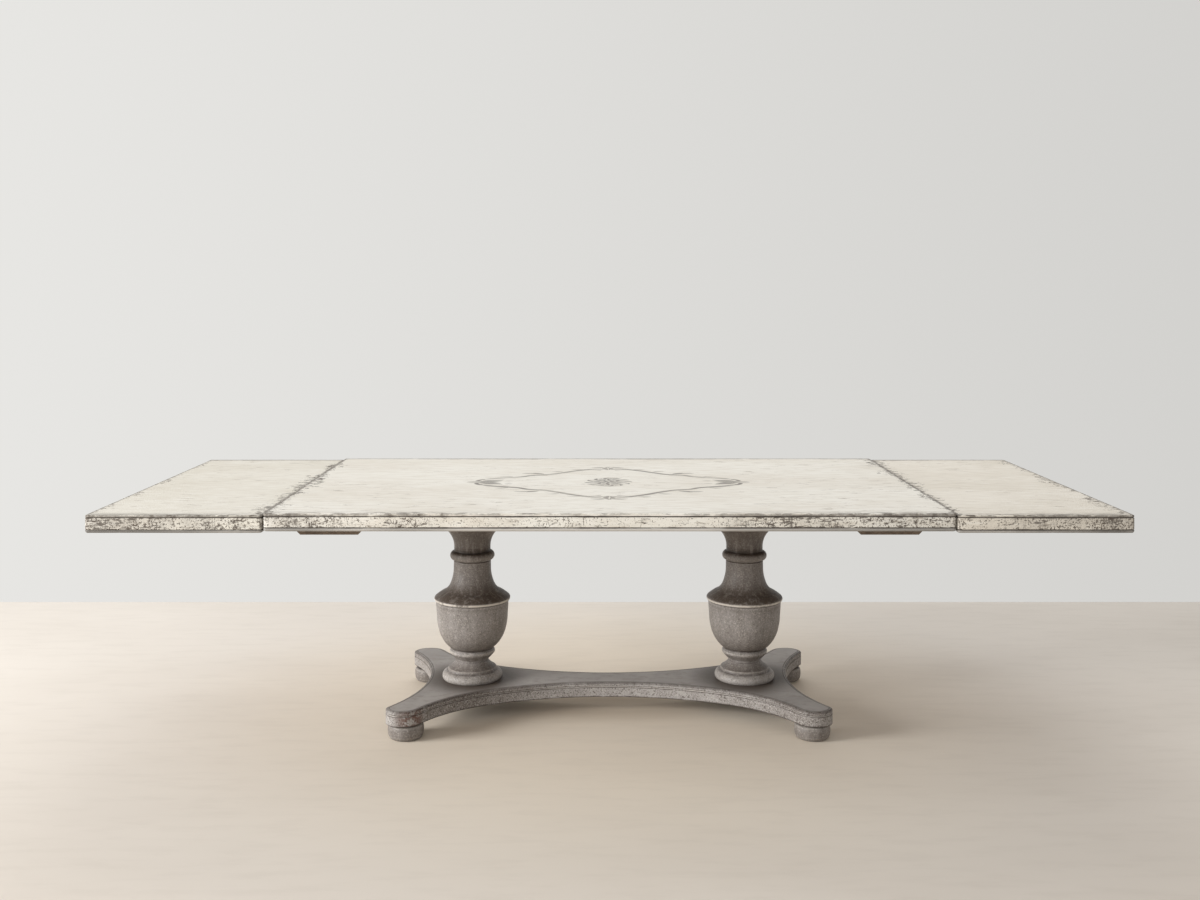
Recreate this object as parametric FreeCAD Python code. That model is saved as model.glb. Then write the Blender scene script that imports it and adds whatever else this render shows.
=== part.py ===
import FreeCAD, Part
import math
import os

os.makedirs("parts", exist_ok=True)

# A dining table on two turned pedestals, with a leaf that is held at each end by pull-out runners.
# Lengths are in millimetres. X runs along the table, Y across it and Z up from the floor.
# Right is +X and back is +Y. The origin is on the floor under the middle of the top.

# The main top and the two end leaves
MAIN_LENGTH = 2032.0
TABLE_WIDTH = 1219.0
MAIN_THICKNESS = 54.5
LEAF_LENGTH = 521.0
LEAF_DROP = 5.0
SEAM_GAP = 1.0

# The moulded edge: a bead along the top, a heel along the bottom and a fine quirk beside each
SLAB_CORNER_RADIUS = 10.0
MAIN_BEAD_HEIGHT = 9.0
MAIN_HEEL_HEIGHT = 11.0
LEAF_BEAD_HEIGHT = 7.0
LEAF_HEEL_HEIGHT = 9.0
QUIRK_WIDTH = 1.6
QUIRK_DEPTH = 2.0
BEAD_ROUND = 3.5
HEEL_ROUND = 8.0
ROUND_LIMIT_SHARE = 0.8

# The heights that are stacked from the floor up to the main top
FOOT_HEIGHT = 49.0
PLINTH_THICKNESS = 50.0
BASE_TURNING_HEIGHT = 69.0
URN_BOWL_HEIGHT = 195.0
URN_LID_HEIGHT = 61.0
URN_NECK_HEIGHT = 121.0
CAPITAL_HEIGHT = 79.0
CAP_PLATE_THICKNESS = 25.0
BEARER_DEPTH = 58.5

# The turned pedestals: the full radius of each piece and the radius at its thin end
PEDESTAL_INSET = 553.5
BASE_TURNING_RADIUS = 101.0
BASE_TURNING_TOP_RADIUS = 54.0
URN_BOWL_RADIUS = 123.0
URN_WAIST_RADIUS = 58.0
URN_LID_RADIUS = 128.5
NECK_RING_RADIUS = 75.3
NECK_TOP_RADIUS = 61.5
CAPITAL_RADIUS = 100.0
TENON_RADIUS = 30.0
TENON_LENGTH = 18.0
TENON_CLEARANCE = 0.2
TENON_END_ROOM = 0.5

# Outlines of the turned pieces, from the bottom rim to the top rim.
# The first share of a point runs from 0 at the thin radius to 1 at the full radius,
# and the second share runs from 0 at the bottom to 1 at the top. An arc has a middle and an end.
BASE_TURNING_SHARES = [
    ("start", (0.915, 0.0)),
    ("arc", (1.0, 0.188), (0.766, 0.391)),
    ("line", (0.638, 0.420)),
    ("line", (0.596, 0.464)),
    ("line", (0.574, 0.551)),
    ("arc", (0.255, 0.696), (0.0, 0.899)),
    ("line", (0.0, 1.0)),
]
URN_BOWL_SHARES = [
    ("start", (0.0, 0.0)),
    ("arc", (0.121, 0.041), (0.258, 0.092)),
    ("arc", (0.288, 0.118), (0.242, 0.149)),
    ("line", (0.152, 0.179)),
    ("line", (0.205, 0.179)),
    ("arc", (0.545, 0.291), (0.819, 0.465)),
    ("arc", (0.912, 0.595), (0.955, 0.740)),
    ("line", (1.0, 1.0)),
]
URN_LID_SHARES = [
    ("start", (0.867, 0.0)),
    ("line", (0.962, 0.033)),
    ("arc", (1.0, 0.131), (0.945, 0.230)),
    ("arc", (0.775, 0.350), (0.545, 0.485)),
    ("arc", (0.180, 0.715), (0.0, 1.0)),
]
URN_NECK_SHARES = [
    ("start", (0.833, 0.0)),
    ("arc", (0.389, 0.158), (0.121, 0.429)),
    ("line", (0.097, 0.595)),
    ("line", (0.034, 0.609)),
    ("line", (0.034, 0.629)),
    ("arc", (1.0, 0.756), (0.034, 0.880)),
    ("line", (0.0, 0.901)),
    ("line", (0.0, 1.0)),
]
CAPITAL_SHARES = [
    ("start", (0.0, 0.0)),
    ("arc", (0.286, 0.506), (0.990, 0.848)),
    ("line", (1.0, 0.873)),
    ("line", (1.0, 1.0)),
]

# The bun feet
FOOT_RADIUS = 57.0
FOOT_SEAT_RADIUS = 40.0
FOOT_END_INSET = 65.0
FOOT_SIDE_INSET = 62.0
FOOT_SHARES = [
    ("start", (0.118, 0.0)),
    ("arc", (0.680, 0.110), (0.920, 0.330)),
    ("arc", (1.0, 0.580), (0.920, 0.820)),
    ("arc", (0.780, 0.905), (0.560, 0.945)),
    ("line", (0.0, 0.945)),
    ("line", (0.0, 1.0)),
]

# The plinth, a board with four arms and hollowed sides
PLINTH_REACH = 245.5
PLINTH_WIDTH = 724.0
PLINTH_TOP_ROUND = 7.0
PLINTH_BOTTOM_ROUND = 3.0
PLINTH_BEAD_HEIGHT = 14.0
PLINTH_QUIRK_WIDTH = 2.5
PLINTH_QUIRK_DEPTH = 2.5
ARM_SIDE_ROUND = 60.0
ARM_END_ROUND = 12.0

# Points of the plinth's outline. The first share is of its reach beyond the pedestal's axis,
# and the second is of its half width. The waist is in the middle of the table.
WAIST_SHARE = 0.163
LONG_SIDE_SHARES = (-0.335, 0.385)
ARM_HOLLOW_SHARES = (0.172, 0.604)
ARM_SIDE_SHARES = (0.605, 1.0)
ARM_TIP_START_SHARES = (0.800, 1.0)
ARM_TIP_MIDDLE_SHARES = (0.932, 0.957)
ARM_TIP_END_SHARES = (0.992, 0.867)
ARM_END_SHARES = (0.977, 0.845)
END_HOLLOW_SHARES = (0.596, 0.0)

# The tie rod that draws each pedestal together
ROD_RADIUS = 8.0
ROD_CLEARANCE = 0.5
ROD_PROUD = 4.0
WASHER_RADIUS = 18.0
WASHER_THICKNESS = 3.0
NUT_ACROSS_FLATS = 24.0
NUT_HEIGHT = 12.0
NUT_SIDES = 6
POCKET_CLEARANCE = 4.0
POCKET_FLOOR_ROOM = 1.0
THREAD_CLEARANCE = 0.05

# The hanger bolts in the feet
HANGER_BOLT_RADIUS = 5.0
HANGER_BOLT_IN_FOOT = 35.0
HANGER_BOLT_IN_PLINTH = 25.0
BOLT_END_ROOM = 1.0

# The plates and bearers that carry the top
CAP_PLATE_MARGIN = 20.0
BEARER_WIDTH = 90.0
BEARER_TIP_DEPTH = 24.0
BEARER_SIDE_INSET = 139.5
BEARER_FLAT_LENGTH = 480.0
SPINE_WIDTH = 70.0
SPINE_DEPTH = 45.0
SPINE_TENON_LENGTH = 20.0
SPINE_TENON_SHARE = 0.6
MORTISE_CLEARANCE = 0.2
END_BEARER_INSET = 76.0
END_BEARER_WIDTH = 196.0
END_BEARER_SIDE_INSET = 100.0
END_BEARER_DEPTH = 27.0
END_BEARER_BLOCK_DEPTH = 47.5
END_BEARER_BEVEL = 11.0

# The runners that slide out to carry the leaves, and the strips that they run against
RUNNER_Y = 270.0
RUNNER_WIDTH = 50.0
RUNNER_THICKNESS = 24.0
RUNNER_LEAF_INSET = 132.0
RUNNER_TAIL = 22.0
RUNNER_STORED_INSET = 2.0
RUNNER_SIDE_GAP = 0.5
SLIDE_GAP = 0.3
WEAR_STRIP_THICKNESS = 4.2
WEAR_STRIP_END_INSET = 16.0
STOP_PEG_RADIUS = 8.0
STOP_PEG_DROP = 16.5
STOP_PEG_CLEARANCE = 0.05
PULL_BLOCK_LENGTH = 36.0
PULL_BLOCK_DEPTH = 18.0
PULL_BLOCK_BEVEL = 5.0
RUNNER_CHEEK = 30.0

# The leaves' battens and locating dowels
BATTEN_WIDTH = 60.0
BATTEN_THICKNESS = 20.0
BATTEN_INNER_INSET = 129.0
BATTEN_OUTER_INSET = 92.0
BATTEN_RUNNER_GAP = 2.0
BATTEN_BEVEL = 6.0
DOWEL_RADIUS = 6.0
DOWEL_IN_LEAF = 40.0
DOWEL_PROUD = 35.0
DOWEL_RISE = 19.0
DOWEL_SIDE_INSET = 189.5
DOWEL_CLEARANCE = 0.3
DOWEL_END_ROOM = 3.0
DOWEL_FIT = 0.05

# Screws, whose bite is a share of the wood that they are driven into
SCREW_RADIUS = 3.0
SCREW_HEAD_RADIUS = 6.5
SCREW_HEAD_HEIGHT = 4.0
SCREW_POINT = 6.0
SCREW_CLEARANCE = 0.05
SCREW_TIP_ROOM = 1.0
COUNTERBORE_CLEARANCE = 1.5
BITE_SHARE = 0.55
SEAT_SHARE = 0.6
BEARER_SCREW_INNER_SHARE = 0.70
BEARER_SCREW_OUTER_SHARE = 0.60
BEARER_SCREW_SEAT = 21.0
END_SCREW_INNER_SHARE = 0.60
END_SCREW_OUTER_SHARE = 0.68
END_SCREW_SPREAD_SHARE = 0.5
END_SCREW_SEAT = 17.0
SPINE_SCREW_X_SHARES = (0.25, 0.72)
CAP_SCREW_MARGIN_SHARE = 0.4
CAP_SCREW_SPREAD_SHARE = 0.66
BATTEN_SCREW_END_INSET = 45.0
PULL_SCREW_SPREAD_SHARE = 0.5
STRIP_SCREW_RADIUS = 1.75
STRIP_SCREW_HEAD_RADIUS = 3.5
STRIP_SCREW_HEAD_HEIGHT = 2.0
STRIP_SCREW_RECESS = 0.5
STRIP_SCREW_BITE = 14.0
STRIP_SCREW_POINT = 3.5
STRIP_SCREW_X_SHARES = (0.29, 0.50, 0.97)

OVERRUN = 5.0
TOUCH = 0.001
FULL_TURN = 360.0

# Heights of the faces, worked out from the stack
PLINTH_TOP_Z = FOOT_HEIGHT + PLINTH_THICKNESS
URN_BOWL_Z = PLINTH_TOP_Z + BASE_TURNING_HEIGHT
URN_LID_Z = URN_BOWL_Z + URN_BOWL_HEIGHT
URN_NECK_Z = URN_LID_Z + URN_LID_HEIGHT
CAPITAL_Z = URN_NECK_Z + URN_NECK_HEIGHT
CAP_PLATE_Z = CAPITAL_Z + CAPITAL_HEIGHT
BEARER_Z = CAP_PLATE_Z + CAP_PLATE_THICKNESS
MAIN_Z = BEARER_Z + BEARER_DEPTH
TOP_Z = MAIN_Z + MAIN_THICKNESS
LEAF_TOP_Z = TOP_Z - LEAF_DROP
STRIP_Z = MAIN_Z - WEAR_STRIP_THICKNESS
RUNNER_TOP_Z = STRIP_Z - SLIDE_GAP
RUNNER_Z = RUNNER_TOP_Z - RUNNER_THICKNESS
NOTCH_Z = RUNNER_Z - SLIDE_GAP
LEAF_Z = RUNNER_TOP_Z + SLIDE_GAP
BATTEN_Z = LEAF_Z - BATTEN_THICKNESS
DOWEL_Z = MAIN_Z + DOWEL_RISE

# Places along and across the table, worked out from its size
HALF_MAIN = MAIN_LENGTH / 2
HALF_WIDTH = TABLE_WIDTH / 2
LEAF_X = HALF_MAIN + SEAM_GAP
LEAF_END_X = LEAF_X + LEAF_LENGTH
PEDESTAL_X = HALF_MAIN - PEDESTAL_INSET
BEARER_INNER_X = PEDESTAL_X - BEARER_WIDTH / 2
BEARER_HALF_LENGTH = HALF_WIDTH - BEARER_SIDE_INSET
END_BEARER_OUTER_X = HALF_MAIN - END_BEARER_INSET
END_BEARER_X = END_BEARER_OUTER_X - END_BEARER_WIDTH / 2
END_BEARER_HALF_LENGTH = HALF_WIDTH - END_BEARER_SIDE_INSET
RUNNER_INNER_Y = RUNNER_Y - RUNNER_WIDTH / 2
RUNNER_OUTER_Y = RUNNER_Y + RUNNER_WIDTH / 2
RUNNER_END_X = LEAF_END_X - RUNNER_LEAF_INSET
RUNNER_TRAVEL = RUNNER_END_X - HALF_MAIN + RUNNER_STORED_INSET
RUNNER_TAIL_X = BEARER_INNER_X - RUNNER_TAIL
STOP_PEG_X = BEARER_INNER_X - SLIDE_GAP - STOP_PEG_RADIUS
PULL_BLOCK_X = END_BEARER_OUTER_X + SLIDE_GAP + RUNNER_TRAVEL
PLINTH_HALF_LENGTH = PEDESTAL_X + PLINTH_REACH
PLINTH_HALF_WIDTH = PLINTH_WIDTH / 2
FOOT_X = PLINTH_HALF_LENGTH - FOOT_END_INSET
FOOT_Y = PLINTH_HALF_WIDTH - FOOT_SIDE_INSET

# The neck's foot, where it stands on the lid
NECK_FOOT_RADIUS = NECK_TOP_RADIUS + (NECK_RING_RADIUS - NECK_TOP_RADIUS) * URN_NECK_SHARES[0][1][0]

# Sizes of the pockets and holes, worked out from what goes in them
SOCKET_RADIUS = TENON_RADIUS + TENON_CLEARANCE
SOCKET_DEPTH = TENON_LENGTH + TENON_END_ROOM
ROD_BORE_RADIUS = ROD_RADIUS + ROD_CLEARANCE
POCKET_RADIUS = WASHER_RADIUS + POCKET_CLEARANCE
PLINTH_POCKET_DEPTH = WASHER_THICKNESS + NUT_HEIGHT + POCKET_FLOOR_ROOM
BEARER_POCKET_DEPTH = WASHER_THICKNESS + NUT_HEIGHT + ROD_PROUD + POCKET_CLEARANCE
HANGER_BORE_RADIUS = HANGER_BOLT_RADIUS + THREAD_CLEARANCE
SCREW_BORE_RADIUS = SCREW_RADIUS + SCREW_CLEARANCE
COUNTERBORE_RADIUS = SCREW_HEAD_RADIUS + COUNTERBORE_CLEARANCE
STRIP_BORE_RADIUS = STRIP_SCREW_RADIUS + SCREW_CLEARANCE
STRIP_RECESS_RADIUS = STRIP_SCREW_HEAD_RADIUS + SCREW_CLEARANCE
SPINE_TENON_WIDTH = SPINE_WIDTH * SPINE_TENON_SHARE
SPINE_TENON_DEPTH = SPINE_DEPTH * SPINE_TENON_SHARE
END_BEARER_BLOCK_HALF_LENGTH = RUNNER_OUTER_Y + RUNNER_CHEEK
BATTEN_HALF_LENGTH = RUNNER_INNER_Y - BATTEN_RUNNER_GAP
MAIN_BITE = MAIN_THICKNESS * BITE_SHARE

SIDES = {"left": -1, "right": 1}
ROWS = {"front": -1, "back": 1}
UP = FreeCAD.Vector(0, 0, 1)


def vector(x, y, z):
    return FreeCAD.Vector(x, y, z)


def span(side, near, far):
    """The limits of a piece that lies from near to far on one side of the middle."""
    return tuple(sorted((side * near, side * far)))


def around(centre, width):
    """The limits of a piece of this width about its centre."""
    return (centre - width / 2, centre + width / 2)


def block(x_limits, y_limits, z_limits):
    """A box between three pairs of limits."""
    corner = vector(x_limits[0], y_limits[0], z_limits[0])
    sizes = [high - low for low, high in (x_limits, y_limits, z_limits)]
    return Part.makeBox(*sizes, corner)


def post(x, y, z_limits, radius):
    """An upright round bar, which also cuts round holes."""
    return Part.makeCylinder(radius, z_limits[1] - z_limits[0], vector(x, y, z_limits[0]))


def prism(points, push):
    """A solid that a closed outline of straight lines sweeps along one direction."""
    wire = Part.makePolygon([*points, points[0]])
    return Part.Face(wire).extrude(push)


def cut_all(solid, tools):
    """The solid with every tool taken out of it."""
    return solid.cut(tools)


def level_edges(solid, z):
    """The edges that lie in the level plane at this height."""
    box_edges = [(edge, edge.BoundBox) for edge in solid.Edges]
    return [edge for edge, box in box_edges if abs(box.ZMin - z) < TOUCH and abs(box.ZMax - z) < TOUCH]


def upright_edges(solid):
    """The straight edges that stand upright."""
    chosen = []
    for edge in solid.Edges:
        box = edge.BoundBox
        if box.XLength < TOUCH and box.YLength < TOUCH:
            chosen.append(edge)
    return chosen


def rounded_block(x_limits, y_limits, z_limits, radius):
    """A box whose upright edges are rounded."""
    solid = block(x_limits, y_limits, z_limits)
    return solid.makeFillet(radius, upright_edges(solid))


def grown(limits, amount):
    """The limits moved apart by an amount at each end, or together by a negative one."""
    return (limits[0] - amount, limits[1] + amount)


def moulded_slab(x_limits, y_limits, z_limits, bead_height, heel_height):
    """A slab with a rounded bead and heel along its edge, and a quirk cut in beside each."""
    bottom, top = z_limits
    slab = rounded_block(x_limits, y_limits, z_limits, SLAB_CORNER_RADIUS)
    bead_round = min(BEAD_ROUND, bead_height * ROUND_LIMIT_SHARE)
    heel_round = min(HEEL_ROUND, heel_height * ROUND_LIMIT_SHARE)
    slab = slab.makeFillet(bead_round, level_edges(slab, top))
    slab = slab.makeFillet(heel_round, level_edges(slab, bottom))
    rings = []
    for quirk_low in (bottom + heel_height, top - bead_height - QUIRK_WIDTH):
        quirk = (quirk_low, quirk_low + QUIRK_WIDTH)
        outside = block(grown(x_limits, OVERRUN), grown(y_limits, OVERRUN), quirk)
        core_radius = max(SLAB_CORNER_RADIUS - QUIRK_DEPTH, QUIRK_DEPTH)
        core_x = grown(x_limits, -QUIRK_DEPTH)
        core_y = grown(y_limits, -QUIRK_DEPTH)
        rings.append(outside.cut(rounded_block(core_x, core_y, quirk, core_radius)))
    return cut_all(slab, rings)


def outline_edges(shares, thin_radius, full_radius, height):
    """The edges of a turned outline, and the points where it starts and ends."""
    def place(point):
        return vector(thin_radius + (full_radius - thin_radius) * point[0], 0, height * point[1])

    start = place(shares[0][1])
    here = start
    edges = []
    for kind, *points in shares[1:]:
        end = place(points[-1])
        if kind == "arc":
            edges.append(Part.Arc(here, place(points[0]), end).toShape())
        else:
            edges.append(Part.LineSegment(here, end).toShape())
        here = end
    return edges, start, here


def line_edges(points):
    """Straight edges that join the points in order."""
    return [Part.LineSegment(a, b).toShape() for a, b in zip(points, points[1:])]


def revolved(edges, x, y, z):
    """The solid that a closed outline sweeps about its own axis, set down at a place."""
    face = Part.Face(Part.Wire(Part.__sortEdges__(edges)))
    solid = face.revolve(vector(0, 0, 0), UP, FULL_TURN)
    solid.translate(vector(x, y, z))
    return solid


def turned(shares, thin_radius, full_radius, height, x, z, has_socket=True):
    """A turned pedestal piece with a tenon below, a rod bore and, in most, a socket above."""
    edges, start, end = outline_edges(shares, thin_radius, full_radius, height)
    below = [
        vector(ROD_BORE_RADIUS, 0, -TENON_LENGTH),
        vector(TENON_RADIUS, 0, -TENON_LENGTH),
        vector(TENON_RADIUS, 0, 0),
        start,
    ]
    above = [end]
    if has_socket:
        above.append(vector(SOCKET_RADIUS, 0, height))
        above.append(vector(SOCKET_RADIUS, 0, height - SOCKET_DEPTH))
        above.append(vector(ROD_BORE_RADIUS, 0, height - SOCKET_DEPTH))
    else:
        above.append(vector(ROD_BORE_RADIUS, 0, height))
    inside = line_edges([above[-1], below[0]])
    return revolved(line_edges(below) + edges + line_edges(above) + inside, x, 0, z)


def screw(x, y, seat_z, tip_z, radius=SCREW_RADIUS, head_radius=SCREW_HEAD_RADIUS,
          head_height=SCREW_HEAD_HEIGHT, point=SCREW_POINT):
    """A wood screw that points up, with the underside of its head at the seat."""
    length = tip_z - seat_z
    outline = [
        vector(0, 0, -head_height),
        vector(head_radius, 0, -head_height),
        vector(head_radius, 0, 0),
        vector(radius, 0, 0),
        vector(radius, 0, length - point),
        vector(0, 0, length),
        vector(0, 0, -head_height),
    ]
    return revolved(line_edges(outline), x, y, seat_z)


def screw_ways(places, low_z, seat_z, top_z):
    """Holes for upward screws: counterbores up to the seat, then narrow holes to the top."""
    ways = []
    for x, y in places:
        ways.append(post(x, y, (low_z - OVERRUN, seat_z), COUNTERBORE_RADIUS))
        ways.append(post(x, y, (seat_z - OVERRUN, top_z + OVERRUN), SCREW_BORE_RADIUS))
    return ways


def pilot_holes(places, face_z, tip_z):
    """Blind holes in the piece that the screws are driven into."""
    return [post(x, y, (face_z - OVERRUN, tip_z + SCREW_TIP_ROOM), SCREW_BORE_RADIUS) for x, y in places]


def screws(places, seat_z, tip_z):
    return [screw(x, y, seat_z, tip_z) for x, y in places]


def bevelled_board(x, width, y_limits, z_limits, bevel):
    """A board along Y whose two long lower edges are bevelled."""
    low_x, high_x = around(x, width)
    low_z, high_z = z_limits
    outline = [
        (low_x, high_z),
        (low_x, low_z + bevel),
        (low_x + bevel, low_z),
        (high_x - bevel, low_z),
        (high_x, low_z + bevel),
        (high_x, high_z),
    ]
    points = [vector(px, y_limits[0], pz) for px, pz in outline]
    return prism(points, vector(0, y_limits[1] - y_limits[0], 0))


# Places of the screws, which the piece below and the piece above both use.
# Screws on the boards stand clear of the runners, on either side of them.
def bearer_screw_places(side):
    inner_y = RUNNER_INNER_Y * BEARER_SCREW_INNER_SHARE
    outer_y = RUNNER_OUTER_Y + (BEARER_HALF_LENGTH - RUNNER_OUTER_Y) * BEARER_SCREW_OUTER_SHARE
    return [(side * PEDESTAL_X, row * y) for row in ROWS.values() for y in (inner_y, outer_y)]


def end_bearer_screw_places(side):
    offset = END_BEARER_WIDTH * END_SCREW_SPREAD_SHARE / 2
    inner_y = RUNNER_INNER_Y * END_SCREW_INNER_SHARE
    free_length = END_BEARER_HALF_LENGTH - END_BEARER_BLOCK_HALF_LENGTH
    outer_y = END_BEARER_BLOCK_HALF_LENGTH + free_length * END_SCREW_OUTER_SHARE
    columns = (END_BEARER_X - offset, END_BEARER_X + offset)
    return [(side * x, row * y) for x in columns for row in ROWS.values() for y in (inner_y, outer_y)]


def spine_screw_places():
    return [(side * BEARER_INNER_X * share, 0) for side in SIDES.values() for share in SPINE_SCREW_X_SHARES]


def cap_screw_places(side):
    offset = BEARER_WIDTH * CAP_SCREW_SPREAD_SHARE / 2
    y = CAPITAL_RADIUS + CAP_PLATE_MARGIN * CAP_SCREW_MARGIN_SHARE
    columns = (PEDESTAL_X - offset, PEDESTAL_X + offset)
    return [(side * x, row * y) for x in columns for row in ROWS.values()]


def batten_centres(side):
    inner = LEAF_X + BATTEN_INNER_INSET
    outer = LEAF_END_X - BATTEN_OUTER_INSET
    return [side * inner, side * outer]


def batten_screw_places(side):
    outer_y = BATTEN_HALF_LENGTH - BATTEN_SCREW_END_INSET
    return [(x, y) for x in batten_centres(side) for y in (-outer_y, 0, outer_y)]


def pull_screw_places(side, row):
    centre = PULL_BLOCK_X + PULL_BLOCK_LENGTH / 2
    offset = RUNNER_WIDTH * PULL_SCREW_SPREAD_SHARE / 2
    return [(side * centre, row * RUNNER_Y + y) for y in (-offset, offset)]


def strip_limits(side):
    return span(side, BEARER_INNER_X, HALF_MAIN - WEAR_STRIP_END_INSET)


def strip_screw_places(side, row):
    length = HALF_MAIN - WEAR_STRIP_END_INSET - BEARER_INNER_X
    return [(side * (BEARER_INNER_X + length * share), row * RUNNER_Y) for share in STRIP_SCREW_X_SHARES]


def dowel_places():
    outer_y = HALF_WIDTH - DOWEL_SIDE_INSET
    return (-outer_y, 0, outer_y)


def dowel_bar(side, y, near_x, far_x, radius):
    """A level round bar along X, from near to far on one side."""
    low_x, high_x = span(side, near_x, far_x)
    return Part.makeCylinder(radius, high_x - low_x, vector(low_x, y, DOWEL_Z), vector(1, 0, 0))


# The top and its leaves
def main_top():
    slab = moulded_slab(span(1, -HALF_MAIN, HALF_MAIN), (-HALF_WIDTH, HALF_WIDTH), (MAIN_Z, TOP_Z),
                        MAIN_BEAD_HEIGHT, MAIN_HEEL_HEIGHT)
    holes = pilot_holes(spine_screw_places(), MAIN_Z, MAIN_Z + MAIN_BITE)
    for side in SIDES.values():
        places = bearer_screw_places(side) + end_bearer_screw_places(side)
        holes += pilot_holes(places, MAIN_Z, MAIN_Z + MAIN_BITE)
        for y in dowel_places():
            depth_x = HALF_MAIN + SEAM_GAP - DOWEL_PROUD - DOWEL_END_ROOM
            holes.append(dowel_bar(side, y, depth_x, HALF_MAIN + OVERRUN, DOWEL_RADIUS + DOWEL_CLEARANCE))
        for row in ROWS.values():
            for x, y in strip_screw_places(side, row):
                tip = MAIN_Z + STRIP_SCREW_BITE + SCREW_TIP_ROOM
                holes.append(post(x, y, (MAIN_Z - OVERRUN, tip), STRIP_BORE_RADIUS))
    return cut_all(slab, holes)


def leaf(side):
    x_limits = span(side, LEAF_X, LEAF_END_X)
    slab = moulded_slab(x_limits, (-HALF_WIDTH, HALF_WIDTH), (LEAF_Z, LEAF_TOP_Z),
                        LEAF_BEAD_HEIGHT, LEAF_HEEL_HEIGHT)
    holes = pilot_holes(batten_screw_places(side), LEAF_Z, LEAF_Z + leaf_bite())
    for y in dowel_places():
        inner_end = LEAF_X + DOWEL_IN_LEAF
        holes.append(dowel_bar(side, y, LEAF_X - OVERRUN, inner_end, DOWEL_RADIUS + DOWEL_FIT))
    return cut_all(slab, holes)


def leaf_bite():
    return (LEAF_TOP_Z - LEAF_Z) * BITE_SHARE


def leaf_battens(side):
    battens = []
    for x in batten_centres(side):
        board = bevelled_board(x, BATTEN_WIDTH, (-BATTEN_HALF_LENGTH, BATTEN_HALF_LENGTH),
                               (BATTEN_Z, LEAF_Z), BATTEN_BEVEL)
        places = [place for place in batten_screw_places(side) if place[0] == x]
        battens.append(cut_all(board, screw_ways(places, BATTEN_Z, batten_seat_z(), LEAF_Z)))
    return battens


def batten_seat_z():
    return LEAF_Z - BATTEN_THICKNESS * SEAT_SHARE


def leaf_dowels(side):
    ends = (LEAF_X - DOWEL_PROUD, LEAF_X + DOWEL_IN_LEAF)
    return [dowel_bar(side, y, *ends, DOWEL_RADIUS) for y in dowel_places()]


# The frame under the top
def runner_notches(x_limits):
    """Channels that are open above, one for each line of runners."""
    width = RUNNER_WIDTH + 2 * RUNNER_SIDE_GAP
    wide_x = grown(x_limits, OVERRUN)
    z_limits = (NOTCH_Z, MAIN_Z + OVERRUN)
    return [block(wide_x, around(row * RUNNER_Y, width), z_limits) for row in ROWS.values()]


def pedestal_bearer(side):
    x_limits = around(side * PEDESTAL_X, BEARER_WIDTH)
    flat = BEARER_FLAT_LENGTH / 2
    tip_z = MAIN_Z - BEARER_TIP_DEPTH
    outline = [
        (-BEARER_HALF_LENGTH, MAIN_Z),
        (-BEARER_HALF_LENGTH, tip_z),
        (-flat, BEARER_Z),
        (flat, BEARER_Z),
        (BEARER_HALF_LENGTH, tip_z),
        (BEARER_HALF_LENGTH, MAIN_Z),
    ]
    points = [vector(x_limits[0], y, z) for y, z in outline]
    bearer = prism(points, vector(BEARER_WIDTH, 0, 0))
    mortise_z = around(MAIN_Z - SPINE_DEPTH / 2, SPINE_TENON_DEPTH + 2 * MORTISE_CLEARANCE)
    mortise_end = BEARER_INNER_X + SPINE_TENON_LENGTH + MORTISE_CLEARANCE
    mortise_width = SPINE_TENON_WIDTH + 2 * MORTISE_CLEARANCE
    pocket = (BEARER_Z - OVERRUN, BEARER_Z + BEARER_POCKET_DEPTH)
    tools = [
        block(span(side, BEARER_INNER_X - OVERRUN, mortise_end), around(0, mortise_width), mortise_z),
        post(side * PEDESTAL_X, 0, pocket, POCKET_RADIUS),
        *runner_notches(x_limits),
        *screw_ways(bearer_screw_places(side), BEARER_Z, MAIN_Z - BEARER_SCREW_SEAT, MAIN_Z),
        *pilot_holes(cap_screw_places(side), BEARER_Z, BEARER_Z + cap_screw_bite()),
    ]
    return cut_all(bearer, tools)


def spine_rail():
    z_limits = (MAIN_Z - SPINE_DEPTH, MAIN_Z)
    rail = block((-BEARER_INNER_X, BEARER_INNER_X), around(0, SPINE_WIDTH), z_limits)
    tenon_x = BEARER_INNER_X + SPINE_TENON_LENGTH
    tenon_z = around(MAIN_Z - SPINE_DEPTH / 2, SPINE_TENON_DEPTH)
    tenons = block((-tenon_x, tenon_x), around(0, SPINE_TENON_WIDTH), tenon_z)
    rail = rail.fuse(tenons).removeSplitter()
    return cut_all(rail, screw_ways(spine_screw_places(), z_limits[0], spine_seat_z(), MAIN_Z))


def spine_seat_z():
    return MAIN_Z - SPINE_DEPTH * SEAT_SHARE


def end_bearer(side):
    """The wide board near each end of the top, with a deeper block that guides the runners."""
    x = side * END_BEARER_X
    board = bevelled_board(x, END_BEARER_WIDTH, (-END_BEARER_HALF_LENGTH, END_BEARER_HALF_LENGTH),
                           (MAIN_Z - END_BEARER_DEPTH, MAIN_Z), END_BEARER_BEVEL)
    guide = bevelled_board(x, END_BEARER_WIDTH, (-END_BEARER_BLOCK_HALF_LENGTH, END_BEARER_BLOCK_HALF_LENGTH),
                           (MAIN_Z - END_BEARER_BLOCK_DEPTH, MAIN_Z), END_BEARER_BEVEL)
    bearer = board.fuse(guide).removeSplitter()
    low_z = MAIN_Z - END_BEARER_BLOCK_DEPTH
    tools = [
        *runner_notches(around(x, END_BEARER_WIDTH)),
        *screw_ways(end_bearer_screw_places(side), low_z, MAIN_Z - END_SCREW_SEAT, MAIN_Z),
    ]
    return cut_all(bearer, tools)


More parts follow.
